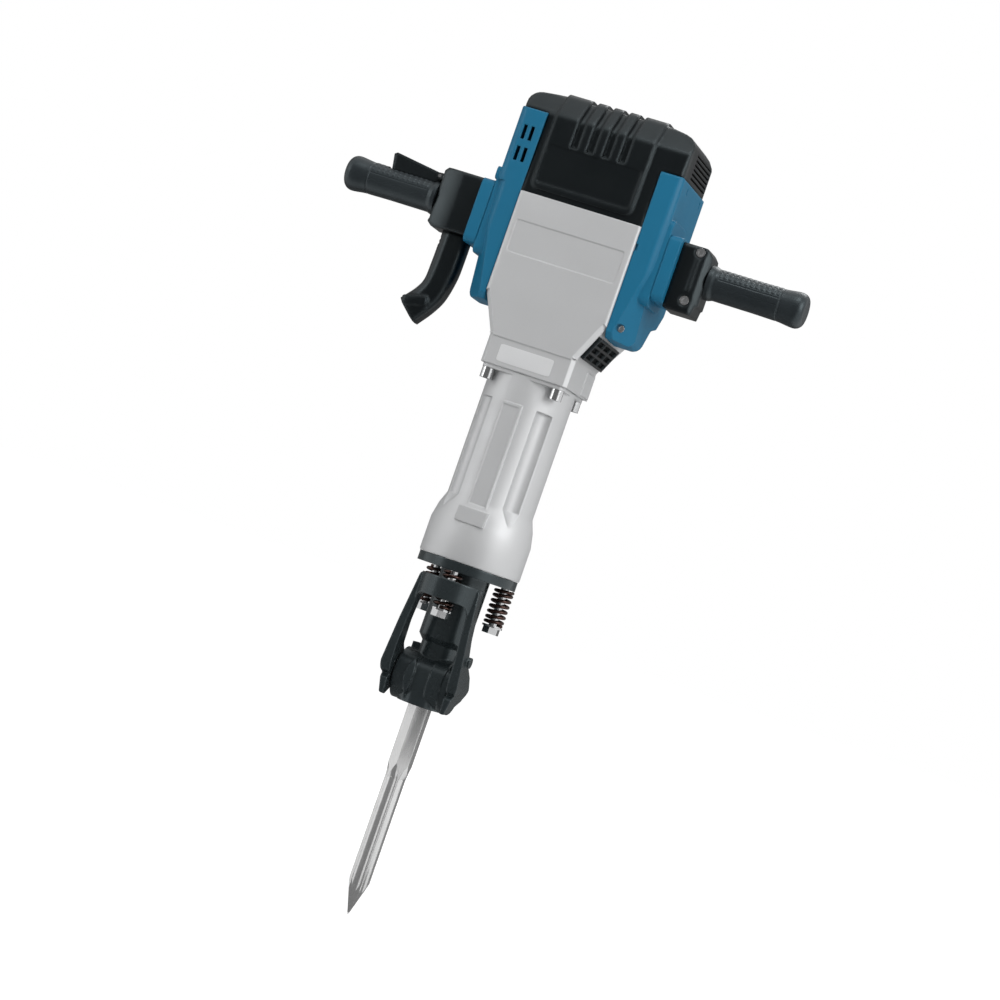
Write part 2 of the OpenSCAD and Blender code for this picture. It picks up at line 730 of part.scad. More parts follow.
module gear_housing() {
    wall = housing_wall;
    in_x = panel_x - wall - 2;
    front = rounded([[-collar_w / 2, mount_z], [collar_w / 2, mount_z], [collar_w / 2, collar_z],
        [panel_x, panel_z], [panel_x, seam_z], [-panel_x, seam_z], [-panel_x, panel_z],
        [-collar_w / 2, collar_z]], [0, 0, 6, 6, 0, 0, 6, 6]);
    side = rounded([[front_y, mount_z], [-front_y, mount_z], [-front_y, collar_z], [back_y, panel_z],
        [back_y, seam_z], [front_y, seam_z]], [0, 0, 6, 6, 0, 0]);
    color(silver)
    difference() {
        union() {
            intersection() {
                slab_y(front, front_y - join, back_y + join);
                slab_x(side, -panel_x - join, panel_x + join);
                slab_z(rounded_box([-panel_x, front_y], [panel_x, back_y], 4), mount_z, seam_z);
            }
            for (s = [-1, 1]) mirror([s < 0 ? 1 : 0, 0, 0]) {
                block([collar_w / 2 - join, 16, mount_z + 2], [collar_w / 2 + 1.5, 56, collar_z - 5]);
                for (p = s < 0 ? left_rear_screws : right_rear_screws)
                    block([panel_x - join, rear_lug_y - rear_screw_len - 3, p[1] - 7],
                        [p[0] + 7, rear_lug_y, p[1] + 7]);
            }
            block(front_lug_lo, front_lug_hi);
        }
        for (s = [0, 1]) mirror([s, 0, 0]) {
            translate([collar_w / 2, front_y, mount_z - join]) edge_cutter(collar_h + join);
            translate([collar_w / 2, front_y, collar_z]) rotate([0, taper_slope, 0]) edge_cutter(taper_run);
        }
        block([-collar_w, front_y - join, mount_z - join],
            [collar_w, front_y + collar_step, collar_z - 2 * collar_step]);
        rod_y(screw_r + seat, front_lug_lo[1] - join, front_lug_hi[1] - 3, front_screw);
        for (p = right_rear_screws) rod_y(screw_r + seat, rear_lug_y - rear_screw_len, rear_lug_y + join, p);
        for (p = left_rear_screws)
            rod_y(screw_r + seat, rear_lug_y - rear_screw_len, rear_lug_y + join, [-p[0], p[1]]);
        block([-in_x, front_y + wall, gear_room_foot], [web_x0, back_y - wall, seam_z + join]);
        block([web_x1, front_y + wall, gear_room_foot], [panel_x + join, back_y - wall, seam_z + join]);
        rod_z(tube_r + seat, mount_z - join, tube_z1 + seat);
        rod_z(piston_r + 4, tube_z1, gear_room_foot + join);
        rod_x(crank_bearing_r + seat, web_x0 - join, web_x1 + join, crank_axis);
        rod_x(idler_bearing_r + seat, web_x0 - join, web_x1 + join, idler_axis);
        block([-in_x + 20, 0, crank_z - 30], [web_x0 - 4, back_y + join, seam_z - 22]);
        slab_y(rounded_box([-75, seam_z - 80], [75, seam_z - 37], 4), front_y - join, front_y + 0.8);
        on_bolts() rod_z(bolt_r + seat, mount_z - join, mount_z + collar_h - bolt_end_gap + seat);
        for (p = rear_screw_places) rod_y(2.5, back_y - 14, back_y + join, p);
    }
}

// Places of the rear cover's screws, in X and Z
rear_cover_lo = [-66, crank_z - 44];
rear_cover_hi = [34, seam_z - 10];
rear_screw_places = [for (x = [rear_cover_lo[0] + 8, rear_cover_hi[0] - 8],
    z = [rear_cover_lo[1] + 8, rear_cover_hi[1] - 8]) [x, z]];

module rear_gear_cover() {
    color(silver)
    difference() {
        slab_y(rounded_box(rear_cover_lo, rear_cover_hi, 10), back_y, back_y + 5);
        for (p = rear_screw_places) rod_y(2.5 + seat, back_y - join, back_y + 6, p);
    }
}

module rear_cover_screws() {
    color(zinc)
    for (p = rear_screw_places) {
        rod_y(2.4, back_y - 12, back_y + 5 + join, p);
        rod_y(4.5, back_y + 5, back_y + 8.5, p);
    }
}

module gear_plate() {
    color(silver)
    difference() {
        slab_x(rounded_box([front_y + housing_wall + seat, gear_room_foot + seat],
            [back_y - housing_wall - seat, seam_z - 1], 1), plate_x0, plate_x1);
        rod_x(idler_bearing_r + seat, plate_x0 - join, plate_x1 - 1.5, idler_axis);
        rod_x(idler_bearing_r + 4 + seat, plate_x0 - join, plate_x1 - 1.5, crank_axis);
    }
}

// Motor hood: half width, back face and crown below the raised centre panel
hood_x = cover_x - 2;
hood_left = hood_x + left_swell;
hood_back = cover_back - 2;
hood_crown = top_z - rib_proud;
left_top = seam_z + left_cover_rise;
right_top = seam_z + right_cover_rise;
groove_foot = seam_z + 71;
rib_x = -4;
left_fall = 7;
right_fall = 9;
label_foot = seam_z + 16;
label_top = groove_foot - 3;

// The hood's outline seen from the side, grown outwards by o, from height z0
function hood_side(o, z0) =
    rounded([[cover_front - o, z0], [hood_back + o, z0], [hood_back + o, hood_crown - 34],
        [hood_back - 30, hood_crown + o], [cover_front + 28, hood_crown + o],
        [cover_front + 5 - o, hood_crown - 32]], [0, 0, 14 + o, 18 + o, 18 + o, 14 + o]);

// The hood's outline seen from the front, grown outwards by o, from height z0
function hood_face(o, z0) =
    rounded([[-panel_x - o, z0], [panel_x + o, z0], [panel_x + o, right_top - o], [hood_x + o, right_top - o],
        [hood_x + o, hood_crown - right_fall + o], [rib_x + rib_half, hood_crown + o],
        [rib_x - rib_half, hood_crown + o], [-hood_left - o, hood_crown - left_fall + o],
        [-hood_left - o, left_top - o], [-panel_x - o, left_top - o]],
        [0, 0, 0, 0, 24 + o, 10, 10, 15 + o, 0, 0]);

// The hood's outline seen from above, grown outwards by o
function hood_plan(o) =
    rounded_box([-hood_left - o, cover_front - o], [hood_x + o, hood_back + o], 13 + o);

module motor_hood() {
    slot_h = 3;
    slot_pitch = 6;
    color(black)
    difference() {
        union() {
            intersection() {
                slab_y(hood_face(0, seam_z), cover_front - join, hood_back + join);
                slab_x(hood_side(0, seam_z), -hood_left - join, hood_x + join);
                slab_z(hood_plan(0), seam_z, top_z);
            }
            intersection() {
                slab_x(hood_side(rib_proud, seam_z), rib_x - rib_half, rib_x + rib_half);
                slab_y(rounded_box([rib_x - rib_half, seam_z + 8], [rib_x + rib_half, top_z + 10], 9),
                    cover_front - 20, hood_back + 20);
            }
        }
        intersection() {
            slab_y(hood_face(-hood_wall, seam_z - join), cover_front, hood_back);
            slab_x(hood_side(-hood_wall, seam_z - join), -hood_left, hood_x);
            slab_z(hood_plan(-hood_wall), seam_z - join, top_z);
        }
        for (i = [0:groove_count - 1]) let (x = rib_x + 1 + (i - (groove_count - 1) / 2) * groove_pitch)
            intersection() {
                difference() {
                    slab_x(hood_side(rib_proud + join, seam_z), x - groove_w / 2, x + groove_w / 2);
                    slab_x(hood_side(-1.5, seam_z - join), x - groove_w, x + groove_w);
                }
                block([x - groove_w, cover_front - 20, groove_foot],
                    [x + groove_w, hood_back + 20, top_z + join]);
            }
        intersection() {
            difference() {
                slab_x(hood_side(rib_proud + join, seam_z), rib_x - rib_half, rib_x + rib_half);
                slab_x(hood_side(rib_proud - 0.8, seam_z - join), -hood_left, hood_left);
            }
            slab_y(rounded_box([rib_x - rib_half + 4, label_foot], [rib_x + rib_half - 4, label_top], 5),
                cover_front - 20, 0);
        }
        for (i = [0:5]) let (z = right_top + 6 + slot_pitch * i)
            block([hood_x - hood_wall - join, -20, z], [hood_x + join, hood_back - 14, z + slot_h]);
    }
}

// The outline of a side cover seen from the side, up to a top height, with the knee and heel of its slope
cover_knee = [62, panel_z + 28];
cover_heel = panel_z + 66;
function cover_side(top) =
    rounded([[cover_front, panel_z - 4], [cover_front + 7, panel_z - 12], [14, panel_z - 14],
        [38, panel_z + 22], cover_knee, [cover_back - 4, panel_z + 56], [cover_back, cover_heel],
        [cover_back, top], [cover_front, top]], [3, 5, 12, 10, 10, 8, 4, 3, 3]);

// Three corners of the flat that cuts the lower front edge of a cover, and its way out
flare_a = [cover_x, cover_front, panel_z + 114];
flare_b = [panel_x + 8, cover_front, panel_z - 4];
flare_c = [cover_x, cover_front + 36, panel_z - 4];
flare_n = unit(cross(flare_b - flare_a, flare_c - flare_a));

// Front of a cover's room at a height, behind the flat
function flare_room(z) =
    flare_a[1] + cover_wall + (flare_c[1] - flare_a[1]) * (flare_a[2] - z) / (flare_a[2] - flare_c[2]);

// Places of a cover's screws, in X and Z, with the depth of the seat in front or behind
front_screw = [panel_x + 15, panel_z + 5];
front_seat = cover_front + 13;
right_rear_screws = [[panel_x + 14, panel_z + 106]];
left_rear_screws = [for (z = [82, 122]) [panel_x + 14, panel_z + z]];
rear_seat = cover_back - 2;
screw_r = 2.4;
screw_head_r = 4.8;
screw_head_t = 2.7;

// Lugs of the gear housing that take the screws of the covers
rear_lug_y = cover_back - cover_wall - gap;
front_screw_len = 20;
rear_screw_len = 13;
front_lug_lo = [panel_x - 3, front_seat + 10, panel_z - 1];
front_lug_hi = [panel_x + 21, front_seat + 26, panel_z + 13];

// A cover's room for the handle's slider
cover_room_foot = rod_foot - shelf_t - 8;
shelf_z = handle_z + tongue_h / 2 + gap;

// The outside of a cover between two heights, out to a face along X
module cover_body(face_x, z0, top) {
    intersection() {
        slab_x(cover_side(top), panel_x + seat, face_x);
        slab_z(rounded([[panel_x, cover_front], [face_x, cover_front], [face_x, cover_back],
            [panel_x, cover_back]], [0, 10, 10, 0]), z0, top);
        slab_y(rounded([[panel_x, panel_z - 14], [face_x, panel_z - 14], [face_x, top], [panel_x, top]],
            [0, 12, 3, 0]), cover_front - join, cover_back + join);
    }
}

// A side cover on the right, up to a top height, with a swell beside the hood and its rear screws
module cover_shell(top, swell, rear_screws) {
    room = [[flare_room(cover_room_foot), cover_room_foot], [cover_knee[0] - cover_wall, cover_room_foot],
        [cover_back - cover_wall, cover_heel + cover_wall], [cover_back - cover_wall, top - cover_wall],
        [cover_front + cover_wall, top - cover_wall], [cover_front + cover_wall, flare_a[2]]];
    difference() {
        union() {
            difference() {
                union() {
                    cover_body(cover_x, panel_z - 20, top - seat);
                    if (swell > 0) {
                        cover_body(cover_x + swell, seam_z + 6, top - seat);
                        slab_x(rounded_box([cover_front + 5, seam_z + 6], [cover_back - 6, seam_z + 23], 5),
                            cover_x - join, cover_x + swell + 4);
                    }
                }
                slab_x(room, panel_x, cover_x - cover_wall);
                translate(flare_a) rotate([0, acos(flare_n[2]), atan2(flare_n[1], flare_n[0])])
                    block([-150, -150, 0], [150, 150, 60]);
            }
            difference() {
                slab_x(rounded_box([handle_y - 36, handle_z - 56], [handle_y + 36, handle_z + 59], 10),
                    cover_x - 24, boss_x);
                block([panel_x, handle_y - tongue_w / 2 - 4, handle_z - 60],
                    [cover_x - cover_wall, handle_y + 40, handle_z + 62]);
            }
            for (z = [rod_foot - shelf_t, shelf_z])
                block([guide_x - 13, handle_y - 16, z],
                    [cover_x - cover_wall + join, handle_y + 16, z + shelf_t]);
        }
        block([cover_x - cover_wall - join, handle_y - tongue_w / 2 - 1,
                handle_z - tongue_h / 2 - handle_travel - 2],
            [boss_x + join, handle_y + tongue_w / 2 + 1, shelf_z]);
        rod_z(guide_r + seat, rod_foot - shelf_t - join, shelf_z + shelf_t + join, [guide_x, handle_y]);
        for (p = rear_screws) {
            rod_y(screw_r + seat, rear_seat - cover_wall, cover_back + join, p);
            rod_y(screw_head_r + gap, rear_seat, cover_back + join, p);
        }
    }
}

module right_side_cover() {
    slot = [2, 3, 9];
    color(blue)
    difference() {
        cover_shell(right_top, 0, right_rear_screws);
        block(front_lug_lo - [0, gap, gap], front_lug_hi + [gap, gap, gap]);
        rod_y(screw_r + seat, cover_front - join, front_lug_lo[1], front_screw);
        rod_y(screw_head_r + gap, cover_front - join, front_seat, front_screw);
        block([panel_x, cover_front - join, handle_z + 6], [panel_x + 3.5, cover_front + 3, handle_z + 15]);
        for (y = [handle_y - 8, cover_back - 29])
            translate([cover_x - slot[0], y, right_top - 16]) cube(slot + [join, 0, 0]);
    }
}

module left_side_cover() {
    slot_w = 5;
    slot_h = 19;
    color(blue)
    difference() {
        mirror([1, 0, 0]) cover_shell(left_top, left_swell, left_rear_screws);
        for (x = [12, 22], z = [left_top - 42, left_top - 71])
            block([-panel_x - x - slot_w / 2, cover_front - join, z],
                [-panel_x - x + slot_w / 2, cover_front + cover_wall + join, z + slot_h]);
    }
}

// A cover screw of a given length that points backwards, seated at the origin
module cover_screw(length) {
    difference() {
        union() {
            rod_y(screw_r, -join, length, [0, 0]);
            rod_y(screw_head_r, -screw_head_t, -seat, [0, 0]);
        }
        translate([0, 1 - screw_head_t, 0]) rotate([90, 0, 0]) cylinder(r = screw_r, h = 4, $fn = 6);
    }
}

module cover_screws() {
    color(zinc) {
        translate([front_screw[0], front_seat, front_screw[1]]) cover_screw(front_screw_len);
        for (p = right_rear_screws)
            translate([p[0], rear_seat, p[1]]) mirror([0, 1, 0]) cover_screw(rear_screw_len);
        for (p = left_rear_screws)
            translate([-p[0], rear_seat, p[1]]) mirror([0, 1, 0]) cover_screw(rear_screw_len);
    }
}

module exhaust_grille() {
    bar = 3.6;
    foot = 6;
    depth = collar_d - 2 * edge_cut - 2;
    height = taper_run - 21;
    cell_y = (depth - bar) / 3;
    cell_z = (height - bar) / 3;
    color(black)
    translate([collar_w / 2, 0, collar_z]) rotate([0, taper_slope, 0]) difference() {
        block([seat, -depth / 2, foot], [5, depth / 2, foot + height]);
        for (i = [0:2], k = [0:2])
            let (y = i * cell_y - depth / 2 + bar, z = foot + bar + k * cell_z)
            block([1.2, y, z], [6, y + cell_y - bar, z + cell_z - bar]);
    }
}

module cylinder_tube() {
    color(steel)
    difference() {
        ring_z(tube_r, piston_r + fit, guide_z1, tube_z1);
        for (i = [0:5]) rotate([0, 0, 60 * i]) rod_y(2, piston_r - 2, tube_r + join, [0, wrist_z - 70]);
    }
}

module striker_guide() {
    color(steel)
    difference() {
        rod_z(tube_r, guide_z0 + seat, guide_z1);
        rod_z(striker_r + fit, guide_z0, guide_floor + join);
        rod_z(striker_head_r + fit, guide_floor, guide_z1 + join);
    }
}

module striker() {
    head_z = striker_z1 - striker_head_h;
    color(zinc)
    turned([[0, striker_z0], [striker_r - 2, striker_z0], [striker_r, striker_z0 + 2], [striker_r, head_z],
        [striker_head_r, head_z], [striker_head_r, striker_z1 - 4], [striker_r - 2, striker_z1],
        [0, striker_z1]]);
}

module ram() {
    groove_z = ram_z1 - 14;
    color(steel)
    difference() {
        rod_z(piston_r, ram_z0, ram_z1);
        ring_z(piston_r + join, piston_r - 2, groove_z, groove_z + 5);
        ring_z(piston_r + join, piston_r - 9, ram_z0 - join, ram_z0 + 24);
    }
}

module piston() {
    z0 = wrist_z - piston_below;
    z1 = wrist_z + piston_above;
    color(silver)
    difference() {
        rod_z(piston_r, z0, z1);
        ring_z(piston_r + join, piston_r - 2, z0 + 8, z0 + 13);
        block([-rod_half - 0.5, -piston_r - join, wrist_z - rod_eye_r - 1],
            [rod_half + 0.5, piston_r + join, z1 + join]);
        rod_x(wrist_r + seat, -piston_r - join, piston_r + join, [0, wrist_z]);
    }
}

module wrist_pin() {
    color(steel)
    rod_x(wrist_r, -piston_r + 2, piston_r - 2, [0, wrist_z]);
}

module connecting_rod() {
    web = 10;
    color(steel)
    difference() {
        union() {
            rod_x(rod_eye_r - 2, -rod_half, rod_half, [0, wrist_z]);
            rod_x(rod_eye_r, -rod_half, rod_half, [0, crank_pin_z]);
            block([-rod_half + 2, -web, wrist_z + wrist_r + 4],
                [rod_half - 2, web, crank_pin_z - crank_pin_r - 4]);
        }
        rod_x(wrist_r + seat, -rod_half - join, rod_half + join, [0, wrist_z]);
        rod_x(crank_pin_r + seat, -rod_half - join, rod_half + join, [0, crank_pin_z]);
    }
}

module crank_pin() {
    color(zinc)
    rod_x(crank_pin_r, -rod_half - 1, rod_half + 0.5, [0, crank_pin_z]);
}

module crank_shaft() {
    disc_x0 = rod_half + 0.5 + gap;
    color(steel)
    difference() {
        union() {
            rod_x(crank_disc_r, disc_x0, web_x0 - 2, crank_axis);
            rod_x(shaft_r, web_x0 - 3, plate_x1 - 2, crank_axis);
        }
        for (s = [-1, 1]) rod_x(7, disc_x0 - join, web_x0, crank_axis + [s * 22, 10]);
    }
}

module crank_gear() {
    color(steel)
    difference() {
        translate([0, crank_axis[0], crank_axis[1]])
            slab_x(gear_outline(crank_module, crank_teeth, 90 - idler_tilt), crank_gear_x0, crank_gear_x1);
        rod_x(shaft_r + seat, crank_gear_x0 - join, crank_gear_x1 + join, crank_axis);
        for (i = [0:5]) let (a = 60 * i + 15)
            rod_x(7, crank_gear_x0 - join, crank_gear_x1 + join, crank_axis + 31 * [cos(a), sin(a)]);
    }
}

module crank_bearings() {
    color(zinc) {
        ring_x(crank_bearing_r, shaft_r + fit, web_x0 + 1, web_x1 - 1, crank_axis);
        ring_x(idler_bearing_r + 4, shaft_r + fit, plate_x0 + seat, plate_x1 - 1.5 - seat, crank_axis);
    }
}

module idler_shaft() {
    color(steel)
    union() {
        rod_x(idler_shaft_r, web_x0 + 1, plate_x1 - 2, idler_axis);
        translate([0, idler_axis[0], idler_axis[1]])
            slab_x(gear_outline(crank_module, pinion_teeth, 270 - idler_tilt + 180 / pinion_teeth),
                crank_gear_x0 - 1, crank_gear_x1 + 1);
    }
}

module idler_gear() {
    color(steel)
    difference() {
        translate([0, idler_axis[0], idler_axis[1]])
            slab_x(gear_outline(idler_module, idler_teeth, 90), idler_gear_x0, idler_gear_x1);
        rod_x(idler_shaft_r + seat, idler_gear_x0 - join, idler_gear_x1 + join, idler_axis);
        for (i = [0:5]) let (a = 60 * i)
            rod_x(8, idler_gear_x0 - join, idler_gear_x1 + join, idler_axis + 28 * [cos(a), sin(a)]);
    }
}

module idler_bearings() {
    color(zinc) {
        ring_x(idler_bearing_r, idler_shaft_r + fit, web_x0 + 2, web_x1 - 2, idler_axis);
        ring_x(idler_bearing_r, idler_shaft_r + fit, plate_x0 + seat, plate_x1 - 1.5 - seat, idler_axis);
    }
}

module rotor_shaft() {
    color(steel)
    union() {
        rod_x(rotor_shaft_r, tail_x0, idler_gear_x0 - join, rotor_axis);
        translate([0, rotor_axis[0], rotor_axis[1]])
            slab_x(gear_outline(idler_module, pinion_teeth, 270 + 180 / pinion_teeth),
                idler_gear_x0 - 2, idler_gear_x1 + 1);
    }
}

module rotor_core() {
    slots = 12;
    color(forged)
    difference() {
        ring_x(rotor_r, rotor_shaft_r + seat, core_x0, core_x1, rotor_axis);
        for (i = [0:slots - 1]) let (a = 360 / slots * i)
            rod_x(2.5, core_x0 - join, core_x1 + join, rotor_axis + (rotor_r - 3) * [cos(a), sin(a)]);
    }
}

module commutator() {
    color(copper)
    ring_x(commutator_r, rotor_shaft_r + seat, commutator_x0, commutator_x1, rotor_axis);
}

module cooling_fan() {
    blades = 9;
    color(black)
    difference() {
        union() {
            rod_x(fan_r, fan_x0, fan_x0 + 2.5, rotor_axis);
            rod_x(rotor_shaft_r + 5, fan_x0, fan_x1, rotor_axis);
            for (i = [0:blades - 1])
                translate([0, rotor_axis[0], rotor_axis[1]]) rotate([360 / blades * i, 0, 0])
                block([fan_x0 + join, 10, -1.2], [fan_x1, fan_r - 2, 1.2]);
        }
        rod_x(rotor_shaft_r + seat, fan_x0 - join, fan_x1 + join, rotor_axis);
    }
}

module stator_core() {
    color(forged)
    ring_x(stator_r, rotor_r + 1, core_x0, core_x1, rotor_axis);
}

module field_windings() {
    color(copper)
    for (x = [core_x0 - 8, core_x1 + seat]) ring_x(stator_r - 5, rotor_r + 3, x, x + 8 - seat, rotor_axis);
}

// A bearing bracket that stands on the rim of the gear housing
module bearing_bracket(x0, x1) {
    difference() {
        union() {
            rod_x(rotor_bearing_r + bracket_rim, x0, x1, rotor_axis);
            for (y = [rotor_axis[0] - 44, rotor_axis[0] + 34])
                block([x0, y, seam_z], [x1, y + 10, rotor_axis[1]]);
            slab_x(rounded_box(rotor_axis - [44, 6], rotor_axis + [44, 6], 2), x0, x1);
        }
        rod_x(rotor_bearing_r + seat, x0 - join, x1 + join, rotor_axis);
    }
}

module drive_bracket() {
    color(silver)
    union() {
        bearing_bracket(bracket_x0, bracket_x1);
        for (y = [rotor_axis[0] - 44, rotor_axis[0] + 34])
            block([web_x0 + 2, y, seam_z], [bracket_x0 + join, y + 10, seam_z + 8]);
    }
}

module tail_bracket() {
    color(silver)
    bearing_bracket(tail_x0, tail_x1);
}

module rotor_bearings() {
    color(zinc) {
        ring_x(rotor_bearing_r, rotor_shaft_r + fit, bracket_x0 + 1, bracket_x1 - 1, rotor_axis);
        ring_x(rotor_bearing_r, rotor_shaft_r + fit, tail_x0 + 1, tail_x1 - 1, rotor_axis);
    }
}

module brush_holders() {
    color(brass)
    for (s = [-1, 1]) difference() {
        block([commutator_x0 - 1, rotor_axis[0] + s * (commutator_r + 13) - 11, rotor_axis[1] - 8],
            [commutator_x1 + 1, rotor_axis[0] + s * (commutator_r + 13) + 11, rotor_axis[1] + 8]);
        block([commutator_x0 + 1, rotor_axis[0] + s * (commutator_r + 13) - 12, rotor_axis[1] - 5],
            [commutator_x1 - 1, rotor_axis[0] + s * (commutator_r + 13) + 12, rotor_axis[1] + 5]);
    }
}

module carbon_brushes() {
    color(forged)
    for (s = [-1, 1]) difference() {
        block([commutator_x0 + 1.2, rotor_axis[0] + s * (commutator_r + 9) - 10, rotor_axis[1] - 4.8],
            [commutator_x1 - 1.2, rotor_axis[0] + s * (commutator_r + 9) + 10, rotor_axis[1] + 4.8]);
        rod_x(commutator_r + gap, commutator_x0, commutator_x1, rotor_axis);
    }
}

module control_module() {
    z0 = rotor_axis[1] + stator_r + 2;
    z1 = z0 + 0.44 * stator_r;
    half_d = 0.7 * stator_r;
    color(black)
    difference() {
        block([-stator_r, rotor_axis[0] - half_d, z0], [stator_r, rotor_axis[0] + half_d, z1]);
        for (x = [-1, 1], y = [-1, 1])
            rod_z(2.2, z0 - join, z1 + join, [x * (stator_r - 6), rotor_axis[0] + y * (half_d - 6)]);
    }
}

module guide_rods() {
    color(zinc)
    for (s = [-1, 1])
        rod_z(guide_r, rod_foot - shelf_t, shelf_z + shelf_t, [s * guide_x, handle_y]);
}

// A handle spring round its guide rod, on the right
module damper_spring() {
    ring_z(spring_outer, guide_r + 1.5, rod_foot + seat, handle_z - tongue_h / 2 - gap, [guide_x, handle_y]);
}

module right_damper_spring() {
    color(steel)
    damper_spring();
}

module left_damper_spring() {
    color(steel)
    mirror([1, 0, 0]) damper_spring();
}

// A slider block with the tongue that runs on the guide rod, on the right
module slider() {
    difference() {
        union() {
            slab_x(rounded_box([handle_y - slider_d / 2, handle_z - slider_h / 2 - slider_low],
                [handle_y + slider_d / 2, handle_z + slider_h / 2 - slider_low], 9), boss_x + gap, slider_x);
            block([guide_x - 13, handle_y - tongue_w / 2, handle_z - tongue_h / 2],
                [boss_x + join, handle_y + tongue_w / 2, handle_z + tongue_h / 2]);
        }
        rod_z(guide_r + fit, handle_z - tongue_h, handle_z + tongue_h, [guide_x, handle_y]);
    }
}

module right_slider() {
    color(blue)
    slider();
}

module left_slider() {
    color(blue)
    mirror([1, 0, 0]) slider();
}

spigot_r = 10;
spigot_len = grip_len - 16;
hub_bolt_x = slider_x + 25;
right_bolt_places = [for (z = [-34, 30]) [hub_bolt_x, handle_z + z]];
left_bolt_places = [for (z = [-30, 30]) [hub_bolt_x, handle_z + z]];
hub_bolt_r = 3.4;
hub_bolt_head_r = 6;
hub_bolt_sink = 0.5;
hub_seat_depth = 5;
left_hub_end = slider_x + left_hub_len;
right_hub_end = slider_x + right_hub_len;
left_hub_foot = handle_z - left_hub_h / 2 + 1;
left_hub_crown = left_hub_foot + left_hub_h;
right_hub_foot = handle_z - right_hub_h / 2 - right_hub_drop;
right_hub_crown = right_hub_foot + right_hub_h;

// A handle hub on the right: its outline from the front, its end, where its bevel starts and its bolts
module hub(face, end_x, bevel_x, places) {
    half = hub_d / 2;
    plan = rounded([[slider_x, handle_y - half], [bevel_x, handle_y - half], [end_x, handle_y - half + 9],
        [end_x, handle_y + half - 9], [bevel_x, handle_y + half], [slider_x, handle_y + half]],
        [0, 2, 4, 4, 2, 0]);
    side = rounded_box([handle_y - half, face[0][1]], [handle_y + half, face[len(face) - 1][1]], 5);
    difference() {
        union() {
            intersection() {
                slab_x(side, slider_x, end_x);
                slab_y(rounded(face, 2), handle_y - hub_d, handle_y + hub_d);
                slab_z(plan, face[0][1] - join, face[len(face) - 1][1] + join);
            }
            rod_x(spigot_r, end_x - join, end_x + spigot_len, [handle_y, handle_z]);
        }
        for (p = places) {
            rod_y(hub_bolt_r + seat, handle_y - hub_d, handle_y + half - 8, p);
            rod_y(hub_bolt_head_r + 0.8, handle_y - hub_d, handle_y - half + hub_seat_depth, p);
        }
    }
}

// The two clamp bolts of a hub, on the right
module hub_bolts(places) {
    face_y = handle_y - hub_d / 2;
    for (p = places) difference() {
        union() {
            rod_y(hub_bolt_r, face_y + hub_seat_depth - join, handle_y + hub_d / 2 - 9, p);
            rod_y(hub_bolt_head_r, face_y + hub_bolt_sink, face_y + hub_seat_depth - seat, p);
        }
        translate([p[0], face_y + hub_bolt_sink + 2.6, p[1]]) rotate([90, 0, 0])
            cylinder(r = 3.6, h = hub_seat_depth, $fn = 6);
    }
}

// A grip that starts at a hub's end, on the right
module grip(start) {
    translate([start + seat, handle_y, handle_z]) rotate([0, 90, 0]) difference() {
        turned([[0, 0], [grip_r + 2, 0], [grip_r + 2, 5], [grip_r + 0.5, 12], [grip_r - 0.3, grip_len / 2],
            [grip_r + 0.3, grip_len - 34], [grip_end_r, grip_len - 10], [grip_end_r - 1, grip_len - 4],
            [grip_end_r - 6, grip_len], [0, grip_len]]);
        rod_z(spigot_r + seat, -join, spigot_len + seat);
    }
}

module right_hub() {
    rib_x = hub_bolt_x - 3;
    color(black)
    union() {
        hub([[slider_x, right_hub_foot], [right_hub_end - 5, right_hub_foot],
            [right_hub_end - 3, right_hub_foot + 13], [right_hub_end, right_hub_foot + 14],
            [right_hub_end, right_hub_crown - 18], [right_hub_end - 2, right_hub_crown - 8],
            [right_hub_end - 10, right_hub_crown], [slider_x, right_hub_crown]],
            right_hub_end, slider_x + 33, right_bolt_places);
        block([rib_x, handle_y - hub_d / 2 - 1.5, handle_z - 22], [rib_x + 5, handle_y, handle_z + 22]);
    }
}

module right_hub_bolts() {
    color(zinc)
    hub_bolts(right_bolt_places);
}

module right_grip() {
    color(rubber)
    grip(right_hub_end);
}

// Room for the switch inside the left hub
switch_lo = [-(slider_x + 46), handle_y - 14, handle_z - 22];
switch_hi = [-slider_x, handle_y + 14, handle_z + 22];
ear_t = 5;

module left_hub() {
    ear_y = lever_w / 2 + 0.5;
    ear = rounded([[6 - left_hub_end, lever_hinge_z - 4], [6 - left_hub_end, lever_hinge_z + 4],
        [lever_hinge_x - 1, lever_hinge_z + 4], [lever_hinge_x - 4.5, lever_hinge_z],
        [lever_hinge_x - 1, lever_hinge_z - 4]], [0, 0, 3, 2, 2]);
    color(black)
    difference() {
        union() {
            translate([0, 2 * handle_y, 0]) rotate([0, 0, 180])
                hub([[slider_x, left_hub_foot], [left_hub_end - 8, left_hub_foot],
                    [left_hub_end, left_hub_foot + 6], [left_hub_end - 2, left_hub_foot + 10],
                    [left_hub_end - 1, left_hub_crown - 5], [left_hub_end - 6, left_hub_crown],
                    [slider_x, left_hub_crown]], left_hub_end, slider_x + left_hub_len * 0.48,
                    left_bolt_places);
            for (s = [-1, 1]) slab_y(ear, handle_y + s * (ear_y + ear_t / 2) - ear_t / 2,
                handle_y + s * (ear_y + ear_t / 2) + ear_t / 2);
        }
        block(switch_lo - [seat, seat, seat], switch_hi + [join, seat, seat]);
        rod_y(lever_pin_r + seat, handle_y - hub_d, handle_y + hub_d, [lever_hinge_x, lever_hinge_z]);
    }
}

module left_hub_bolts() {
    color(zinc)
    translate([0, 2 * handle_y, 0]) rotate([0, 0, 180]) hub_bolts(left_bolt_places);
}

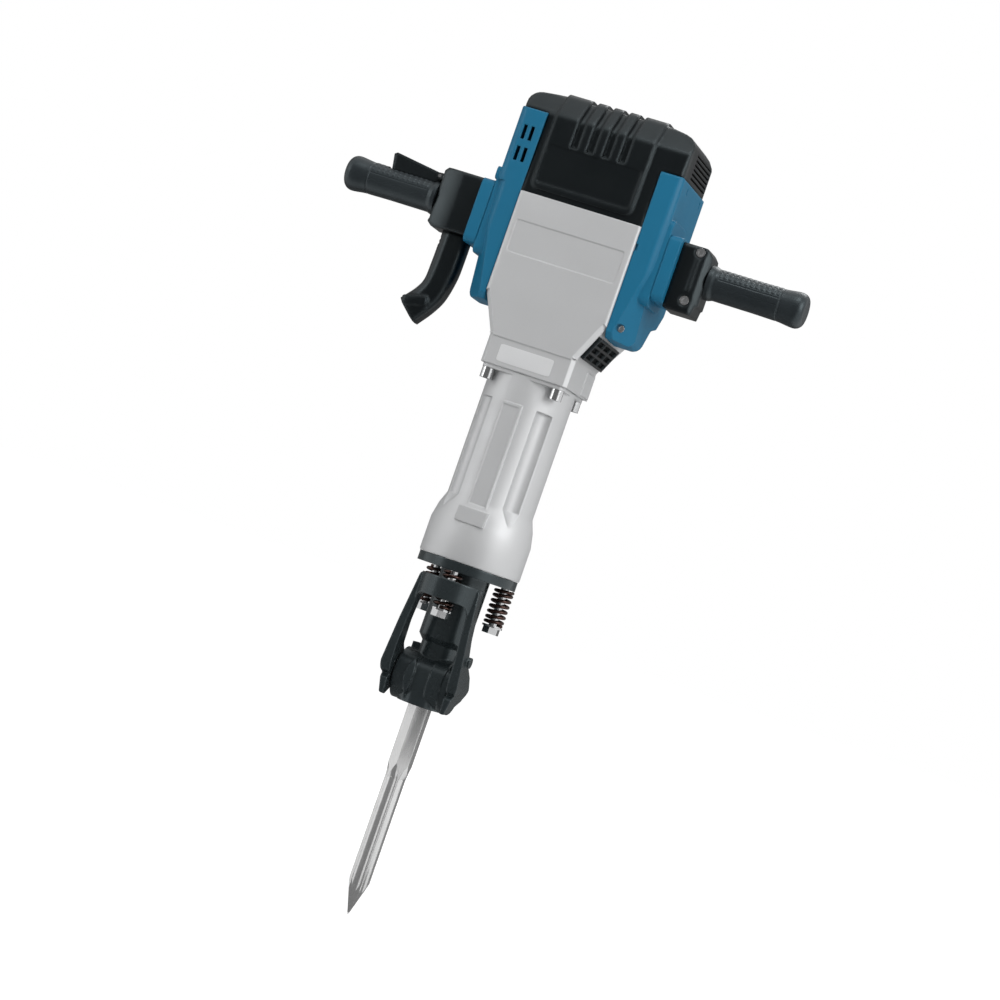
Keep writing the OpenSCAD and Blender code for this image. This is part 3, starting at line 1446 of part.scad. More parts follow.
module left_grip() {
    color(rubber)
    difference() {
        mirror([1, 0, 0]) grip(left_hub_end);
        block([lever_tip_x - 3, handle_y - lever_w / 2 - 1, lever_room_z],
            [join - left_hub_end, handle_y + lever_w / 2 + 1, handle_z + grip_end_r]);
    }
}

module switch_module() {
    color(black)
    difference() {
        block(switch_lo, switch_hi - [seat, 0, 0]);
        rod_x(4, switch_lo[0] + 20, switch_hi[0] + join, [handle_y, handle_z]);
    }
}

module trigger_pin() {
    color(zinc)
    rod_y(lever_pin_r, handle_y - lever_w / 2 - ear_t, handle_y + lever_w / 2 + ear_t,
        [lever_hinge_x, lever_hinge_z]);
}

module trigger_lever() {
    outline = rounded([[lever_hinge_x + 4, lever_hinge_z - 3.4], [lever_hinge_x + 4, lever_hinge_z + 3.4],
        [lever_hinge_x - 3, lever_hinge_z + 4.4], [lever_tip_x + 3, lever_hinge_z + 13.5],
        [lever_tip_x - 1, lever_hinge_z + 11], [lever_tip_x + 3, lever_room_z + 5],
        [lever_hinge_x - 6, lever_room_z + 5]], [2, 2, 6, 1.5, 1.5, 2, 2]);
    color(black)
    difference() {
        slab_y(outline, handle_y - lever_w / 2, handle_y + lever_w / 2);
        rod_y(lever_pin_r + fit, handle_y - lever_w, handle_y + lever_w, [lever_hinge_x, lever_hinge_z]);
    }
}

// Cord arm under the left hub: its top, its mouth and the tilt of the inlet from upright
cord_top = left_hub_foot;
cord_in_x = -slider_x - seat;
cord_out_x = cord_in_x - arm_width;
mouth_lo = [cord_in_x - 0.87 * arm_width, cord_top - arm_drop];
mouth_hi = [cord_in_x - 1.62 * arm_width, cord_top - 0.785 * arm_drop];
mouth_mid = (mouth_lo + mouth_hi) / 2;
mouth_turn = atan2(mouth_hi[1] - mouth_lo[1], mouth_lo[0] - mouth_hi[0]);

module cord_arm() {
    outline = rounded([[cord_in_x, cord_top - seat], [cord_in_x, cord_top - 0.475 * arm_drop],
        [cord_in_x - arm_width / 3, cord_top - 0.81 * arm_drop], mouth_lo, mouth_hi,
        [cord_out_x - 1, cord_top - 0.555 * arm_drop], [cord_out_x, cord_top - seat]],
        [0, 26, 24, 4, 4, 8, 0]);
    color(black)
    difference() {
        slab_y(outline, handle_y - arm_depth / 2, handle_y + arm_depth / 2);
        translate([mouth_mid[0], handle_y, mouth_mid[1]]) rotate([0, mouth_turn, 0])
            translate([0, 0, -join]) cylinder(r = cord_r, h = cord_len + join);
    }
}

gear_housing();
rear_gear_cover();
rear_cover_screws();
gear_plate();
motor_hood();
left_side_cover();
right_side_cover();
cover_screws();
exhaust_grille();
barrel();
barrel_bolts();
cylinder_tube();
striker_guide();
stator_core();
field_windings();
brush_holders();
carbon_brushes();
drive_bracket();
tail_bracket();
rotor_bearings();
crank_bearings();
idler_bearings();
guide_rods();
left_damper_spring();
right_damper_spring();
control_module();
tie_bolts();
tie_springs();
left_slider();
left_hub();
left_grip();
left_hub_bolts();
cord_arm();
switch_module();
trigger_pin();
trigger_lever();
right_slider();
right_hub();
right_grip();
right_hub_bolts();
rotor_shaft();
rotor_core();
commutator();
cooling_fan();
idler_shaft();
idler_gear();
crank_shaft();
crank_gear();
piston();
connecting_rod();
wrist_pin();
crank_pin();
ram();
striker();
front_head();
hex_sleeve();
retainer_yoke();
retainer_bar();
chisel();
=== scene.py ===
"""Looks of an electric breaker hammer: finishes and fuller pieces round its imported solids.

Metres, +Z up along the tool axis, the chisel point at the origin, the front towards -Y.
"""

import json
import logging
import math
from dataclasses import dataclass, field
from enum import Enum
from typing import Sequence

import bmesh
import bpy
import numpy as np
from mathutils import Matrix, Vector


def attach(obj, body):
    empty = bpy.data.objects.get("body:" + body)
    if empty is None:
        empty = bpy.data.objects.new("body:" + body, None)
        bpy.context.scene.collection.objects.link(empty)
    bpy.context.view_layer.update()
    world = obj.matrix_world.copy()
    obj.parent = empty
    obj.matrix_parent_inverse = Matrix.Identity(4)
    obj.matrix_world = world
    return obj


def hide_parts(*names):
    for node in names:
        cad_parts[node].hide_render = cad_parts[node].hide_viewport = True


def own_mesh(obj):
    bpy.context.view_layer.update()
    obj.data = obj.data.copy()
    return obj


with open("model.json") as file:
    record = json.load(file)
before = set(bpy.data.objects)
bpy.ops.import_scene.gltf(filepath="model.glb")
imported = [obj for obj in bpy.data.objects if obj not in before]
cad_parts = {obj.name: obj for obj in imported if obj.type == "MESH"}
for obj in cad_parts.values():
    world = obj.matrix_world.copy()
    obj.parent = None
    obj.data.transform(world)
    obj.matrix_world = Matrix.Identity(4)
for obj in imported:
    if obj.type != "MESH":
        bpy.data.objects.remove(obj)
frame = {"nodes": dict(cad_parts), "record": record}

log = logging.getLogger("breaker")
Rgb = tuple[float, float, float]
Point = tuple[float, float, float]
Span = tuple[float, float]
Grid = np.ndarray
MM = 0.001
SOLID_MERGE = 0.002 * MM
SURFACE_MERGE = 0.001 * MM
BEVEL_SAMPLES = 6


def linear(red: int, green: int, blue: int) -> Rgb:
    """Turns a screen colour into the linear colour that a shader takes.

    Args:
        red: Red from 0 to 255.
        green: Green from 0 to 255.
        blue: Blue from 0 to 255.

    Returns:
        The three linear parts: a straight line at the dark end, and the 2.4 power law above it.
    """
    parts = np.array([red, green, blue]) / 255.0
    flat = np.where(parts <= 0.04045, parts / 12.92, ((parts + 0.055) / 1.055) ** 2.4)
    return tuple(float(v) for v in flat)


class Value:
    """A number or colour socket of a shader, on which operators add nodes."""

    def __init__(self, shader: "Shader", socket: bpy.types.NodeSocket | None) -> None:
        """Keeps the socket and the shader that it belongs to."""
        self.shader = shader
        self.socket = socket

    def __add__(self, other: "Value | float") -> "Value":
        """Sum."""
        return self.shader.math("ADD", self, other)

    def __sub__(self, other: "Value | float") -> "Value":
        """Difference."""
        return self.shader.math("SUBTRACT", self, other)

    def __rsub__(self, other: float) -> "Value":
        """Difference from a number."""
        return self.shader.math("SUBTRACT", other, self)

    def __mul__(self, other: "Value | float") -> "Value":
        """Product."""
        return self.shader.math("MULTIPLY", self, other)

    __radd__ = __add__
    __rmul__ = __mul__

    def least(self, other: "Value | float") -> "Value":
        """The smaller of two."""
        return self.shader.math("MINIMUM", self, other)

    def most(self, other: "Value | float") -> "Value":
        """The larger of two."""
        return self.shader.math("MAXIMUM", self, other)

    def ease(self, low: float, high: float) -> "Value":
        """Rises smoothly from 0 at low to 1 at high, or falls if low is the larger."""
        inputs = {"Value": self, "From Min": low, "From Max": high}
        return self.shader.node("ShaderNodeMapRange", {"interpolation_type": "SMOOTHSTEP"}, inputs)


class Shader:
    """A material and the node tree that its finish is written in."""

    def __init__(self, name: str) -> None:
        """Makes an empty material of that name."""
        self.material = bpy.data.materials.new(name)
        self.material.use_nodes = True
        self.tree = self.material.node_tree
        self.tree.nodes.clear()

    def node(self, kind: str, settings: dict | None = None, inputs: dict | None = None,
             output: int | str = 0) -> Value:
        """Adds a node, sets it, then gives its sockets their values or links.

        Args:
            kind: The node's type.
            settings: Its properties.
            inputs: A value or a link for each socket, by name or number.
            output: Which of its sockets comes back.

        Returns:
            That output, which is empty on a tree's last node.
        """
        made = self.tree.nodes.new(kind)
        for key, setting in (settings or {}).items():
            setattr(made, key, setting)
        for key, value in (inputs or {}).items():
            if isinstance(value, Value):
                self.tree.links.new(value.socket, made.inputs[key])
            else:
                made.inputs[key].default_value = value
        return Value(self, made.outputs[output] if made.outputs else None)

    def math(self, operation: str, *values: "Value | float") -> Value:
        """Adds a Math node over one or two values."""
        return self.node("ShaderNodeMath", {"operation": operation}, dict(enumerate(values)))

    def place(self) -> Value:
        """The point on the object, in metres."""
        return self.node("ShaderNodeTexCoord", output="Object")

    def stretched(self, scale: Sequence[float]) -> Value:
        """The point on the object, stretched along its axes."""
        return self.node("ShaderNodeMapping", {}, {"Vector": self.place(), "Scale": tuple(scale)})

    def noise(self, per_metre: float, detail: float = 2.0, rough: float = 0.5,
              vector: Value | None = None) -> Value:
        """Cloudy noise with that many cells to a metre, from 0 to 1."""
        inputs = {"Vector": vector or self.place(), "Scale": per_metre, "Detail": detail, "Roughness": rough}
        return self.node("ShaderNodeTexNoise", {}, inputs)

    def mix(self, share: "Value | float", first: "Value | Rgb", second: "Value | Rgb") -> Value:
        """Mixes two colours.

        Args:
            share: How much of the second there is.
            first: The first colour.
            second: The second colour.

        Returns:
            The mixed colour.
        """
        pair = [c if isinstance(c, Value) else (*c, 1.0) for c in (first, second)]
        return self.node("ShaderNodeMix", {"data_type": "RGBA"}, {0: share, 6: pair[0], 7: pair[1]}, 2)

    def rounded(self, radius: float) -> Value:
        """The surface's direction, as if its edges were rounded by a radius."""
        return self.node("ShaderNodeBevel", {"samples": BEVEL_SAMPLES}, {"Radius": radius})

    def edges(self, radius: float) -> Value:
        """How far a point is on an edge: 1 less the cosine of the turn that rounding gives it."""
        pair = {0: self.rounded(radius), 1: self.node("ShaderNodeNewGeometry", output="Normal")}
        return 1.0 - self.node("ShaderNodeVectorMath", {"operation": "DOT_PRODUCT"}, pair, "Value")

    def finish(self, inputs: dict) -> bpy.types.Material:
        """Ends the tree in a surface with these values.

        Args:
            inputs: Values or links for the surface's sockets.

        Returns:
            The material.
        """
        surface = self.node("ShaderNodeBsdfPrincipled", {}, inputs)
        self.node("ShaderNodeOutputMaterial", {}, {"Surface": surface})
        return self.material


@dataclass(frozen=True)
class Finish:
    """A finish: its colour, gloss and grain, with the way that its edges wear and catch a painted highlight.
    """

    slot: str
    colour: Rgb
    worn_and_highlight: Rgb
    metallic: float = 0.0
    roughness: float = 0.5
    mottle: float = 0.12
    grain: float = 900.0
    depth: float = 0.05 * MM
    edge: float = 1.2 * MM
    wear_and_highlight: float = 0.35
    specular: float = 0.5
    tint: Rgb = (1.0, 1.0, 1.0)
    clouds: float = 9.0
    smears: float = 26.0
    smear_share: float = 0.16
    patches: float = 120.0
    patch_span: Span = (0.38, 0.66)
    edge_gain: float = 2.4

    def shades(self) -> tuple[Rgb, Rgb]:
        """The darkest and the lightest of the mottled colour."""
        low = tuple(c * (1.0 - self.mottle) for c in self.colour)
        return low, tuple(min(1.0, c * (1.0 + self.mottle)) for c in self.colour)

    def tone(self, shader: Shader) -> Value:
        """Base colour: broad clouds of light and dark, with a fine speckle.

        Args:
            shader: The shader that it is written in.

        Returns:
            The colour before the edges' wear and painted highlight.
        """
        clouds = shader.noise(self.clouds, detail=4.0, rough=0.6)
        speck = shader.noise(self.grain, detail=1.0)
        share = (clouds - 0.5) * self.mottle * 2.0 + (speck - 0.5) * self.mottle + 0.5
        return shader.mix(share, *self.shades())

    def relief(self, shader: Shader) -> Value:
        """Height of the grain, from 0 to 1."""
        return shader.noise(self.grain, detail=2.0, rough=0.6)

    def gloss(self, shader: Shader) -> Value:
        """Roughness: the finish's own, with smears of handling."""
        smears = shader.noise(self.smears, detail=3.0, rough=0.6)
        return smears * self.smear_share + (self.roughness - self.smear_share / 2)

    def edge_wear_and_highlight(self, shader: Shader) -> Value:
        """Share of the edges' lighter colour, broken up by noise: partly real wear, partly a painted
        highlight along the edges.
        """
        patches = shader.noise(self.patches, detail=3.0, rough=0.7).ease(*self.patch_span)
        return (shader.edges(self.edge) * self.edge_gain).least(1.0) * patches * self.wear_and_highlight

    def build(self) -> bpy.types.Material:
        """Makes the material: tone with edge wear and a painted edge highlight, gloss, metal and the grain's
        bump on rounded edges.

        Returns:
            The material.
        """
        shader = Shader(self.slot)
        wear_and_highlight = self.edge_wear_and_highlight(shader)
        bump = {"Strength": 1.0, "Distance": self.depth, "Height": self.relief(shader),
                "Normal": shader.rounded(self.edge)}
        return shader.finish({
            # Lighter colour on the edges: partly real wear, partly a painted highlight.
            "Base Color": shader.mix(wear_and_highlight, self.tone(shader), self.worn_and_highlight),
            "Roughness": self.gloss(shader),
            "Metallic": self.metallic,
            "Specular IOR Level": self.specular,
            "Specular Tint": (*self.tint, 1.0),
            "Normal": shader.node("ShaderNodeBump", {}, bump),
        })


@dataclass(frozen=True)
class BrushedFinish(Finish):
    """A drawn or ground metal, streaked along the tool axis."""

    streak: float = 1500.0
    streak_clouds: float = 30.0

    def streaks(self, shader: Shader, length: float, detail: float, rough: float) -> Value:
        """Noise that is so many times longer up the axis than across it."""
        across = self.streak
        return shader.noise(1.0, detail, rough, shader.stretched((across, across, across / length)))

    def tone(self, shader: Shader) -> Value:
        """Base colour: long streaks up the axis over soft clouds."""
        lines = self.streaks(shader, length=90.0, detail=3.0, rough=0.7)
        clouds = shader.noise(self.streak_clouds, detail=3.0, rough=0.6)
        return shader.mix(lines * 0.6 + clouds * 0.4, *self.shades())

    def relief(self, shader: Shader) -> Value:
        """Height of the streaks."""
        return self.streaks(shader, length=60.0, detail=2.0, rough=0.6)


@dataclass(frozen=True)
class ForgedFinish(Finish):
    """A black forging with a hammered skin."""

    dents: float = 70.0

    def relief(self, shader: Shader) -> Value:
        """Height of shallow dents with a fine grain over them."""
        dents = shader.noise(self.dents, detail=2.0, rough=0.5)
        return dents * 0.7 + shader.noise(self.grain, detail=2.0, rough=0.6) * 0.3


COLD_SHEEN = (0.80, 0.95, 1.0)
STEEL_SHEEN = (0.84, 0.96, 1.0)


class Coat(Enum):
    """The finishes of the hammer, by the record's material slots."""

    # The second colour of each finish is its edges' lighter colour: partly wear, partly a painted highlight.
    CAST = Finish("cast_aluminium", linear(191, 192, 193), linear(220, 221, 222), metallic=0.40,
                  roughness=0.52, mottle=0.05, grain=1500.0, depth=0.03 * MM, edge=2.4 * MM, wear_and_highlight=0.25)
    BLUE = Finish("blue_plastic", linear(23, 101, 134), linear(84, 150, 184), roughness=0.40, mottle=0.06,
                  grain=1900.0, depth=0.02 * MM, edge=3.2 * MM, wear_and_highlight=0.10, specular=0.2)
    BLACK = Finish("black_plastic", linear(5, 7, 9), linear(70, 76, 80), roughness=0.32, mottle=0.14,
                   grain=1700.0, depth=0.03 * MM, edge=6.5 * MM, wear_and_highlight=0.03, specular=0.40, tint=COLD_SHEEN)
    RUBBER = Finish("grip_rubber", linear(27, 31, 34), linear(78, 84, 88), roughness=0.40, mottle=0.16,
                    grain=2200.0, depth=0.03 * MM, edge=0.2 * MM, wear_and_highlight=0.3, specular=0.45, tint=COLD_SHEEN)
    FORGED = ForgedFinish("forged_steel", linear(33, 39, 41), linear(120, 126, 130), metallic=0.1,
                          roughness=0.27, mottle=0.2, grain=900.0, depth=0.08 * MM, edge=3.0 * MM,
                          wear_and_highlight=0.20, specular=0.6, tint=STEEL_SHEEN)
    TOOL = BrushedFinish("tool_steel", linear(196, 196, 196), linear(232, 232, 232), metallic=0.8,
                         roughness=0.24, mottle=0.16, depth=0.015 * MM, edge=0.35 * MM, wear_and_highlight=0.6)
    PLATED = Finish("plated_steel", linear(196, 197, 198), linear(238, 238, 238), metallic=1.0,
                    roughness=0.14, mottle=0.06, grain=900.0, depth=0.005 * MM, edge=0.6 * MM, wear_and_highlight=0.3)
    SPRING = Finish("spring_steel", linear(58, 40, 35), linear(150, 118, 104), metallic=0.8, roughness=0.26,
                    mottle=0.25, grain=1400.0, depth=0.02 * MM, edge=0.4 * MM, wear_and_highlight=0.3, specular=0.6)
    CORE = Finish("core_steel", linear(92, 96, 100), linear(150, 152, 155), metallic=0.8, roughness=0.4,
                  mottle=0.15, grain=900.0, depth=0.03 * MM, edge=0.8 * MM, wear_and_highlight=0.4)
    COPPER = Finish("copper", linear(176, 104, 66), linear(214, 150, 112), metallic=0.9, roughness=0.36,
                    mottle=0.15, grain=1200.0, depth=0.03 * MM, edge=0.6 * MM, wear_and_highlight=0.4)
    BRASS = Finish("brass", linear(186, 150, 82), linear(222, 196, 138), metallic=0.9, roughness=0.34,
                   mottle=0.12, grain=1200.0, depth=0.02 * MM, edge=0.6 * MM, wear_and_highlight=0.4)
    CARBON = Finish("carbon", linear(38, 38, 40), linear(84, 84, 86), roughness=0.6, mottle=0.2,
                    grain=1800.0, depth=0.05 * MM, edge=0.6 * MM, wear_and_highlight=0.3)
    FOIL = BrushedFinish("label_foil", linear(222, 223, 224), linear(240, 240, 240), metallic=0.3,
                         roughness=0.34, mottle=0.04, depth=0.004 * MM, edge=0.3 * MM, wear_and_highlight=0.2)


class Finishes:
    """The materials that have been made, one for each slot."""

    def __init__(self) -> None:
        """Makes every finish once."""
        self.made = {coat.value.slot: coat.value.build() for coat in Coat}

    def dress(self, piece: bpy.types.Object, slot: str) -> None:
        """Gives a piece one finish all over."""
        piece.data.materials.clear()
        piece.data.materials.append(self.made[slot])


def shading_group(angle: float) -> bpy.types.NodeTree:
    """A modifier's node group that merges loose triangles and shades them smooth up to an angle.

    Args:
        angle: Faces that meet at more than this, in radians, keep a sharp edge.

    Returns:
        The group: merge by distance, smooth faces, then sharp edges by their angle.
    """
    group = bpy.data.node_groups.new("crisp_shading", "GeometryNodeTree")
    group.interface.new_socket("Geometry", in_out="INPUT", socket_type="NodeSocketGeometry")
    group.interface.new_socket("Geometry", in_out="OUTPUT", socket_type="NodeSocketGeometry")
    nodes, links = group.nodes, group.links
    start, end = nodes.new("NodeGroupInput"), nodes.new("NodeGroupOutput")
    merge = nodes.new("GeometryNodeMergeByDistance")
    merge.inputs["Distance"].default_value = SOLID_MERGE
    faces, edges = nodes.new("GeometryNodeSetShadeSmooth"), nodes.new("GeometryNodeSetShadeSmooth")
    edges.domain = "EDGE"
    edges.inputs["Shade Smooth"].default_value = False
    turn = nodes.new("GeometryNodeInputMeshEdgeAngle")
    sharp = nodes.new("FunctionNodeCompare")
    sharp.operation = "GREATER_THAN"
    sharp.inputs["B"].default_value = angle
    links.new(start.outputs[0], merge.inputs["Geometry"])
    links.new(merge.outputs[0], faces.inputs["Geometry"])
    links.new(faces.outputs[0], edges.inputs["Geometry"])
    links.new(turn.outputs["Unsigned Angle"], sharp.inputs["A"])
    links.new(sharp.outputs[0], edges.inputs["Selection"])
    links.new(edges.outputs[0], end.inputs[0])
    return group


@dataclass
class Studio:
    """The pale floor, the soft lamps and the camera at the photograph's angle."""

    azimuth: float = 15.95
    elevation: float = -1.55
    roll: float = 19.24
    distance: float = 3.7
    target: Point = (0.0099, 0.0, 0.5672)
    lens: float = 103.25
    sensor: float = 36.0
    sight: float = 200.0
    floor_half: float = 30.0
    floor_grey: float = 0.8
    floor_glow: Span = (0.42, 0.78)
    glow_span: Span = (0.3, 2.5)
    world: float = 0.30
    # Glow of the cards that paint dark reflections and the shade on the ground under the tip.
    flag_grey: float = 0.20
    flag_reach: float = 2.2
    flag_rise: float = 2.8
    flag_start: float = 2 * MM
    flag_low: float = 1.5 * MM
    flag_steps: int = 48
    front_flag: Span = (-45.0, 43.0)
    rear_flag: Span = (148.0, 256.0)
    # Reach of the painted ground shade under the tip, seen only in reflections.
    tip_shade_reach: float = 0.2
    aim: Point = (0.0, 0.0, 0.65)
    lamps: tuple[tuple[str, Point, float, float], ...] = (
        ("key", (2.6, -1.3, 1.9), 1.7, 52.0),
        ("side", (-2.2, -2.0, 1.5), 1.7, 24.0),
        ("front", (0.3, -4.0, 1.2), 2.0, 8.0),
        ("top", (0.2, -1.2, 3.2), 1.0, 22.0),
        ("back", (0.3, 2.3, 3.3), 1.4, 38.0),
    )

    def camera(self) -> None:
        """Sets the camera: back along its direction from the target, turned by its roll."""
        a, e, r = (math.radians(v) for v in (self.azimuth, self.elevation, self.roll))
        back = Vector((math.sin(a) * math.cos(e), -math.cos(a) * math.cos(e), math.sin(e)))
        right = Vector((math.cos(a), math.sin(a), 0.0))
        up = back.cross(right)
        across = right * math.cos(r) + up * math.sin(r)
        upward = up * math.cos(r) - right * math.sin(r)
        data = bpy.data.cameras.new("camera")
        data.lens, data.sensor_width, data.clip_end = self.lens, self.sensor, self.sight
        seat = bpy.data.objects.new("camera", data)
        turn = Matrix((across, upward, back)).transposed().to_4x4()
        seat.matrix_world = Matrix.Translation(Vector(self.target) + back * self.distance) @ turn
        bpy.context.scene.collection.objects.link(seat)
        bpy.context.scene.camera = seat

    def lamp(self, name: str, place: Point, size: float, power: float) -> None:
        """Adds a soft square lamp that looks at the object's middle.

        Args:
            name: The lamp's name.
            place: Where it hangs.
            size: Its side in metres.
            power: Its power in watts.
        """
        data = bpy.data.lights.new(name, "AREA")
        data.shape, data.size, data.energy = "SQUARE", size, power
        made = bpy.data.objects.new(name, data)
        made.location = place
        made.rotation_mode = "QUATERNION"
        made.rotation_quaternion = (Vector(self.aim) - Vector(place)).to_track_quat("-Z", "Y")
        bpy.context.scene.collection.objects.link(made)

    def seen_directly(self, shader: Shader) -> Value:
        """1 for what the camera, a reflection or glass sees, and 0 for light that scatters."""
        sees = [shader.node("ShaderNodeLightPath", output=o)
                for o in ("Is Camera Ray", "Is Glossy Ray", "Is Transmission Ray")]
        return sees[0].most(sees[1]).most(sees[2])

    def surroundings(self) -> None:
        """A world that is white to the eye and gives an even, plain light."""
        world = bpy.data.worlds.new("studio")
        bpy.context.scene.world = world
        world.use_nodes = True
        shader = Shader("studio_world")
        bpy.data.materials.remove(shader.material)
        shader.tree = world.node_tree
        shader.tree.nodes.clear()
        strength = self.seen_directly(shader) * (1.0 - self.world) + self.world
        sky = shader.node("ShaderNodeBackground", {}, {"Color": (1.0, 1.0, 1.0, 1.0), "Strength": strength})
        shader.node("ShaderNodeOutputWorld", {}, {"Surface": sky})

    def floor(self) -> None:
        """A wide pale floor, lifted to white where the eye sees it, that keeps the shadow."""
        h = self.floor_half
        mesh = bpy.data.meshes.new("floor")
        mesh.from_pydata([(-h, -h, 0.0), (h, -h, 0.0), (h, h, 0.0), (-h, h, 0.0)], [], [(0, 1, 2, 3)])
        ground = bpy.data.objects.new("floor", mesh)
        bpy.context.scene.collection.objects.link(ground)
        shader = Shader("pale_floor")
        plain = shader.node("ShaderNodeBsdfDiffuse", {}, {"Color": (*[self.floor_grey] * 3, 1.0)})
        away = shader.node("ShaderNodeVectorMath", {"operation": "LENGTH"}, {0: shader.place()}, "Value")
        near, far = self.floor_glow
        lift = self.seen_directly(shader) * (away.ease(*self.glow_span) * (far - near) + near)
        glow = shader.node("ShaderNodeEmission", {}, {"Strength": lift})
        both = shader.node("ShaderNodeAddShader", {}, {0: plain, 1: glow})
        shader.node("ShaderNodeOutputMaterial", {}, {"Surface": both})
        mesh.materials.append(shader.material)

    def flags(self) -> None:
        """Dark grey glowing cards before, behind and under the object, that only its reflections show:
        painted dark reflections, and under the tip a painted shade on the ground, seen in its reflections.

        Each is a bowed strip: r (sin a, -cos a) between two angles, where r runs out along the floor to
        the reach, and from there the strip stands up.
        """
        shader = Shader("painted_dark_reflection")
        # A grey glow that only reflections see: painted dark reflections.
        grey = shader.node("ShaderNodeEmission", {}, {"Strength": self.flag_grey})
        shader.node("ShaderNodeOutputMaterial", {}, {"Surface": grey})
        start, low = self.flag_start, self.flag_low
        for name, span, reach, rise in (("front_flag", self.front_flag, self.flag_reach, self.flag_rise),
                                        ("rear_flag", self.rear_flag, self.flag_reach, self.flag_rise),
                                        # Under the tip: painted shade on the ground, seen only in
                                        # reflections.
                                        ("tip_shade_card", (0.0, 360.0), self.tip_shade_reach, 2 * low)):
            a = np.radians(np.linspace(*span, self.flag_steps))
            out, up = np.stack([np.sin(a), -np.cos(a), 0 * a], -1), np.array([0.0, 0.0, 1.0])
            grid = np.stack([out * start + up * low, out * reach + up * low, out * reach + up * rise])
            card = surface(name, [Patch(grid, ring=False, start=False, end=False)])
            card.data.materials.append(shader.material)
            card.visible_camera = card.visible_diffuse = card.visible_shadow = False
            card.visible_transmission = card.visible_volume_scatter = False

    def build(self) -> None:
        """Sets up everything round the object."""
        self.camera()
        self.surroundings()
        self.floor()
        self.flags()
        for lamp in self.lamps:
            self.lamp(*lamp)
        bpy.context.scene.view_settings.view_transform = "Standard"


@dataclass
class Solids:
    """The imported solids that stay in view, each with its slot's finish and crisp shading."""

    finishes: Finishes
    smooth_angle: float = 32.0
    slots: dict[str, str] = field(default_factory=dict)

    def dress(self) -> None:
        """Gives every solid the finish of the record's slot, and smooth shading up to an angle."""
        self.slots = {part["node"]: part["material_slot"] for part in frame["record"]["subparts"]}
        group = shading_group(math.radians(self.smooth_angle))
        for name, solid in frame["nodes"].items():
            self.finishes.dress(solid, self.slots[name])
            modifier = solid.modifiers.new("crisp", "NODES")
            modifier.node_group = group
        log.info("dressed %d solids", len(frame["nodes"]))


@dataclass
class Patch:
    """A grid of points: rows along a shape, columns round it."""

    points: Grid
    ring: bool = True
    start: bool = True
    end: bool = True

    def faces(self, first: int) -> tuple[Grid, list[list[int]]]:
        """Numbers the patch's quads and end fans.

        Point (i, j) makes a quad with (i, j + 1), (i + 1, j + 1) and (i + 1, j). A ring's last column
        joins its first, and a closed end is a fan about a point in the middle of its row.

        Args:
            first: The number of the patch's first point.

        Returns:
            The points with the fans' middles, and the faces.
        """
        rows, around = self.points.shape[:2]
        index = np.arange(rows * around).reshape(rows, around) + first
        beside = np.roll(index, -1, axis=1)
        last = around if self.ring else around - 1
        quads = np.stack([index[:-1], beside[:-1], beside[1:], index[1:]], -1)[:, :last].reshape(-1, 4)
        points, faces = self.points.reshape(-1, 3), quads.tolist()
        for row, closed, turn in ((0, self.start, -1), (rows - 1, self.end, 1)):
            if closed:
                middle = np.full(around, first + len(points))
                points = np.vstack([points, self.points[row].mean(axis=0)])
                faces += np.stack([index[row], beside[row], middle], -1)[:last, ::turn].tolist()
        return points, faces


def surface(name: str, patches: Sequence[Patch], sharp: float = 40.0) -> bpy.types.Object:
    """Puts patches into one mesh with its faces outwards.

    Args:
        name: The piece's name.
        patches: Its grids.
        sharp: Faces that meet at more than this many degrees keep a sharp edge.

    Returns:
        The piece, at the origin.
    """
    points, faces = [], []
    for patch in patches:
        own, made = patch.faces(sum(len(p) for p in points))
        points.append(own)
        faces += made
    mesh = bpy.data.meshes.new(name)
    mesh.from_pydata(np.vstack(points).tolist(), [], faces)
    shell = bmesh.new()
    shell.from_mesh(mesh)
    bmesh.ops.remove_doubles(shell, verts=shell.verts, dist=SURFACE_MERGE)
    bmesh.ops.recalc_face_normals(shell, faces=shell.faces)
    shell.to_mesh(mesh)
    shell.free()
    mesh.shade_smooth()
    mesh.set_sharp_from_angle(angle=math.radians(sharp))
    piece = bpy.data.objects.new(name, mesh)
    bpy.context.scene.collection.objects.link(piece)
    return piece


def ease(x: Grid, low: float, high: float) -> Grid:
    """Rises from 0 at low to 1 at high by 3t^2 - 2t^3."""
    t = np.clip((x - low) / (high - low), 0.0, 1.0)
    return t * t * (3.0 - 2.0 * t)


def ridge(x: Grid, middle: float, width: float) -> Grid:
    """A bell of height 1: exp(-((x - middle) / width)^2)."""
    return np.exp(-(((x - middle) / width) ** 2))


def flowing(points: Sequence[Sequence[float]], count: int) -> Grid:
    """A smooth line through points: cubic pieces whose slope at a point is half the step across it.

    Args:
        points: The points in order.
        count: How many samples to take, evenly by the points' numbers.

    Returns:
        The samples.
    """
    p = np.array(points, float)
    slope = np.gradient(p, axis=0)
    at = np.linspace(0.0, len(p) - 1.0, count)
    i = np.minimum(at.astype(int), len(p) - 2)
    t = (at - i)[:, None]
    return ((1 + 2 * t) * (1 - t) ** 2 * p[i] + t * (1 - t) ** 2 * slope[i]
            + t * t * (3 - 2 * t) * p[i + 1] + t * t * (t - 1) * slope[i + 1])


def squared(angle: Grid, power: float) -> tuple[Grid, Grid]:
    """Cosine and sine drawn out to a rounded square, each to the power 2 / power with its sign kept."""
    c, s = np.cos(angle), np.sin(angle)
    return np.sign(c) * np.abs(c) ** (2 / power), np.sign(s) * np.abs(s) ** (2 / power)


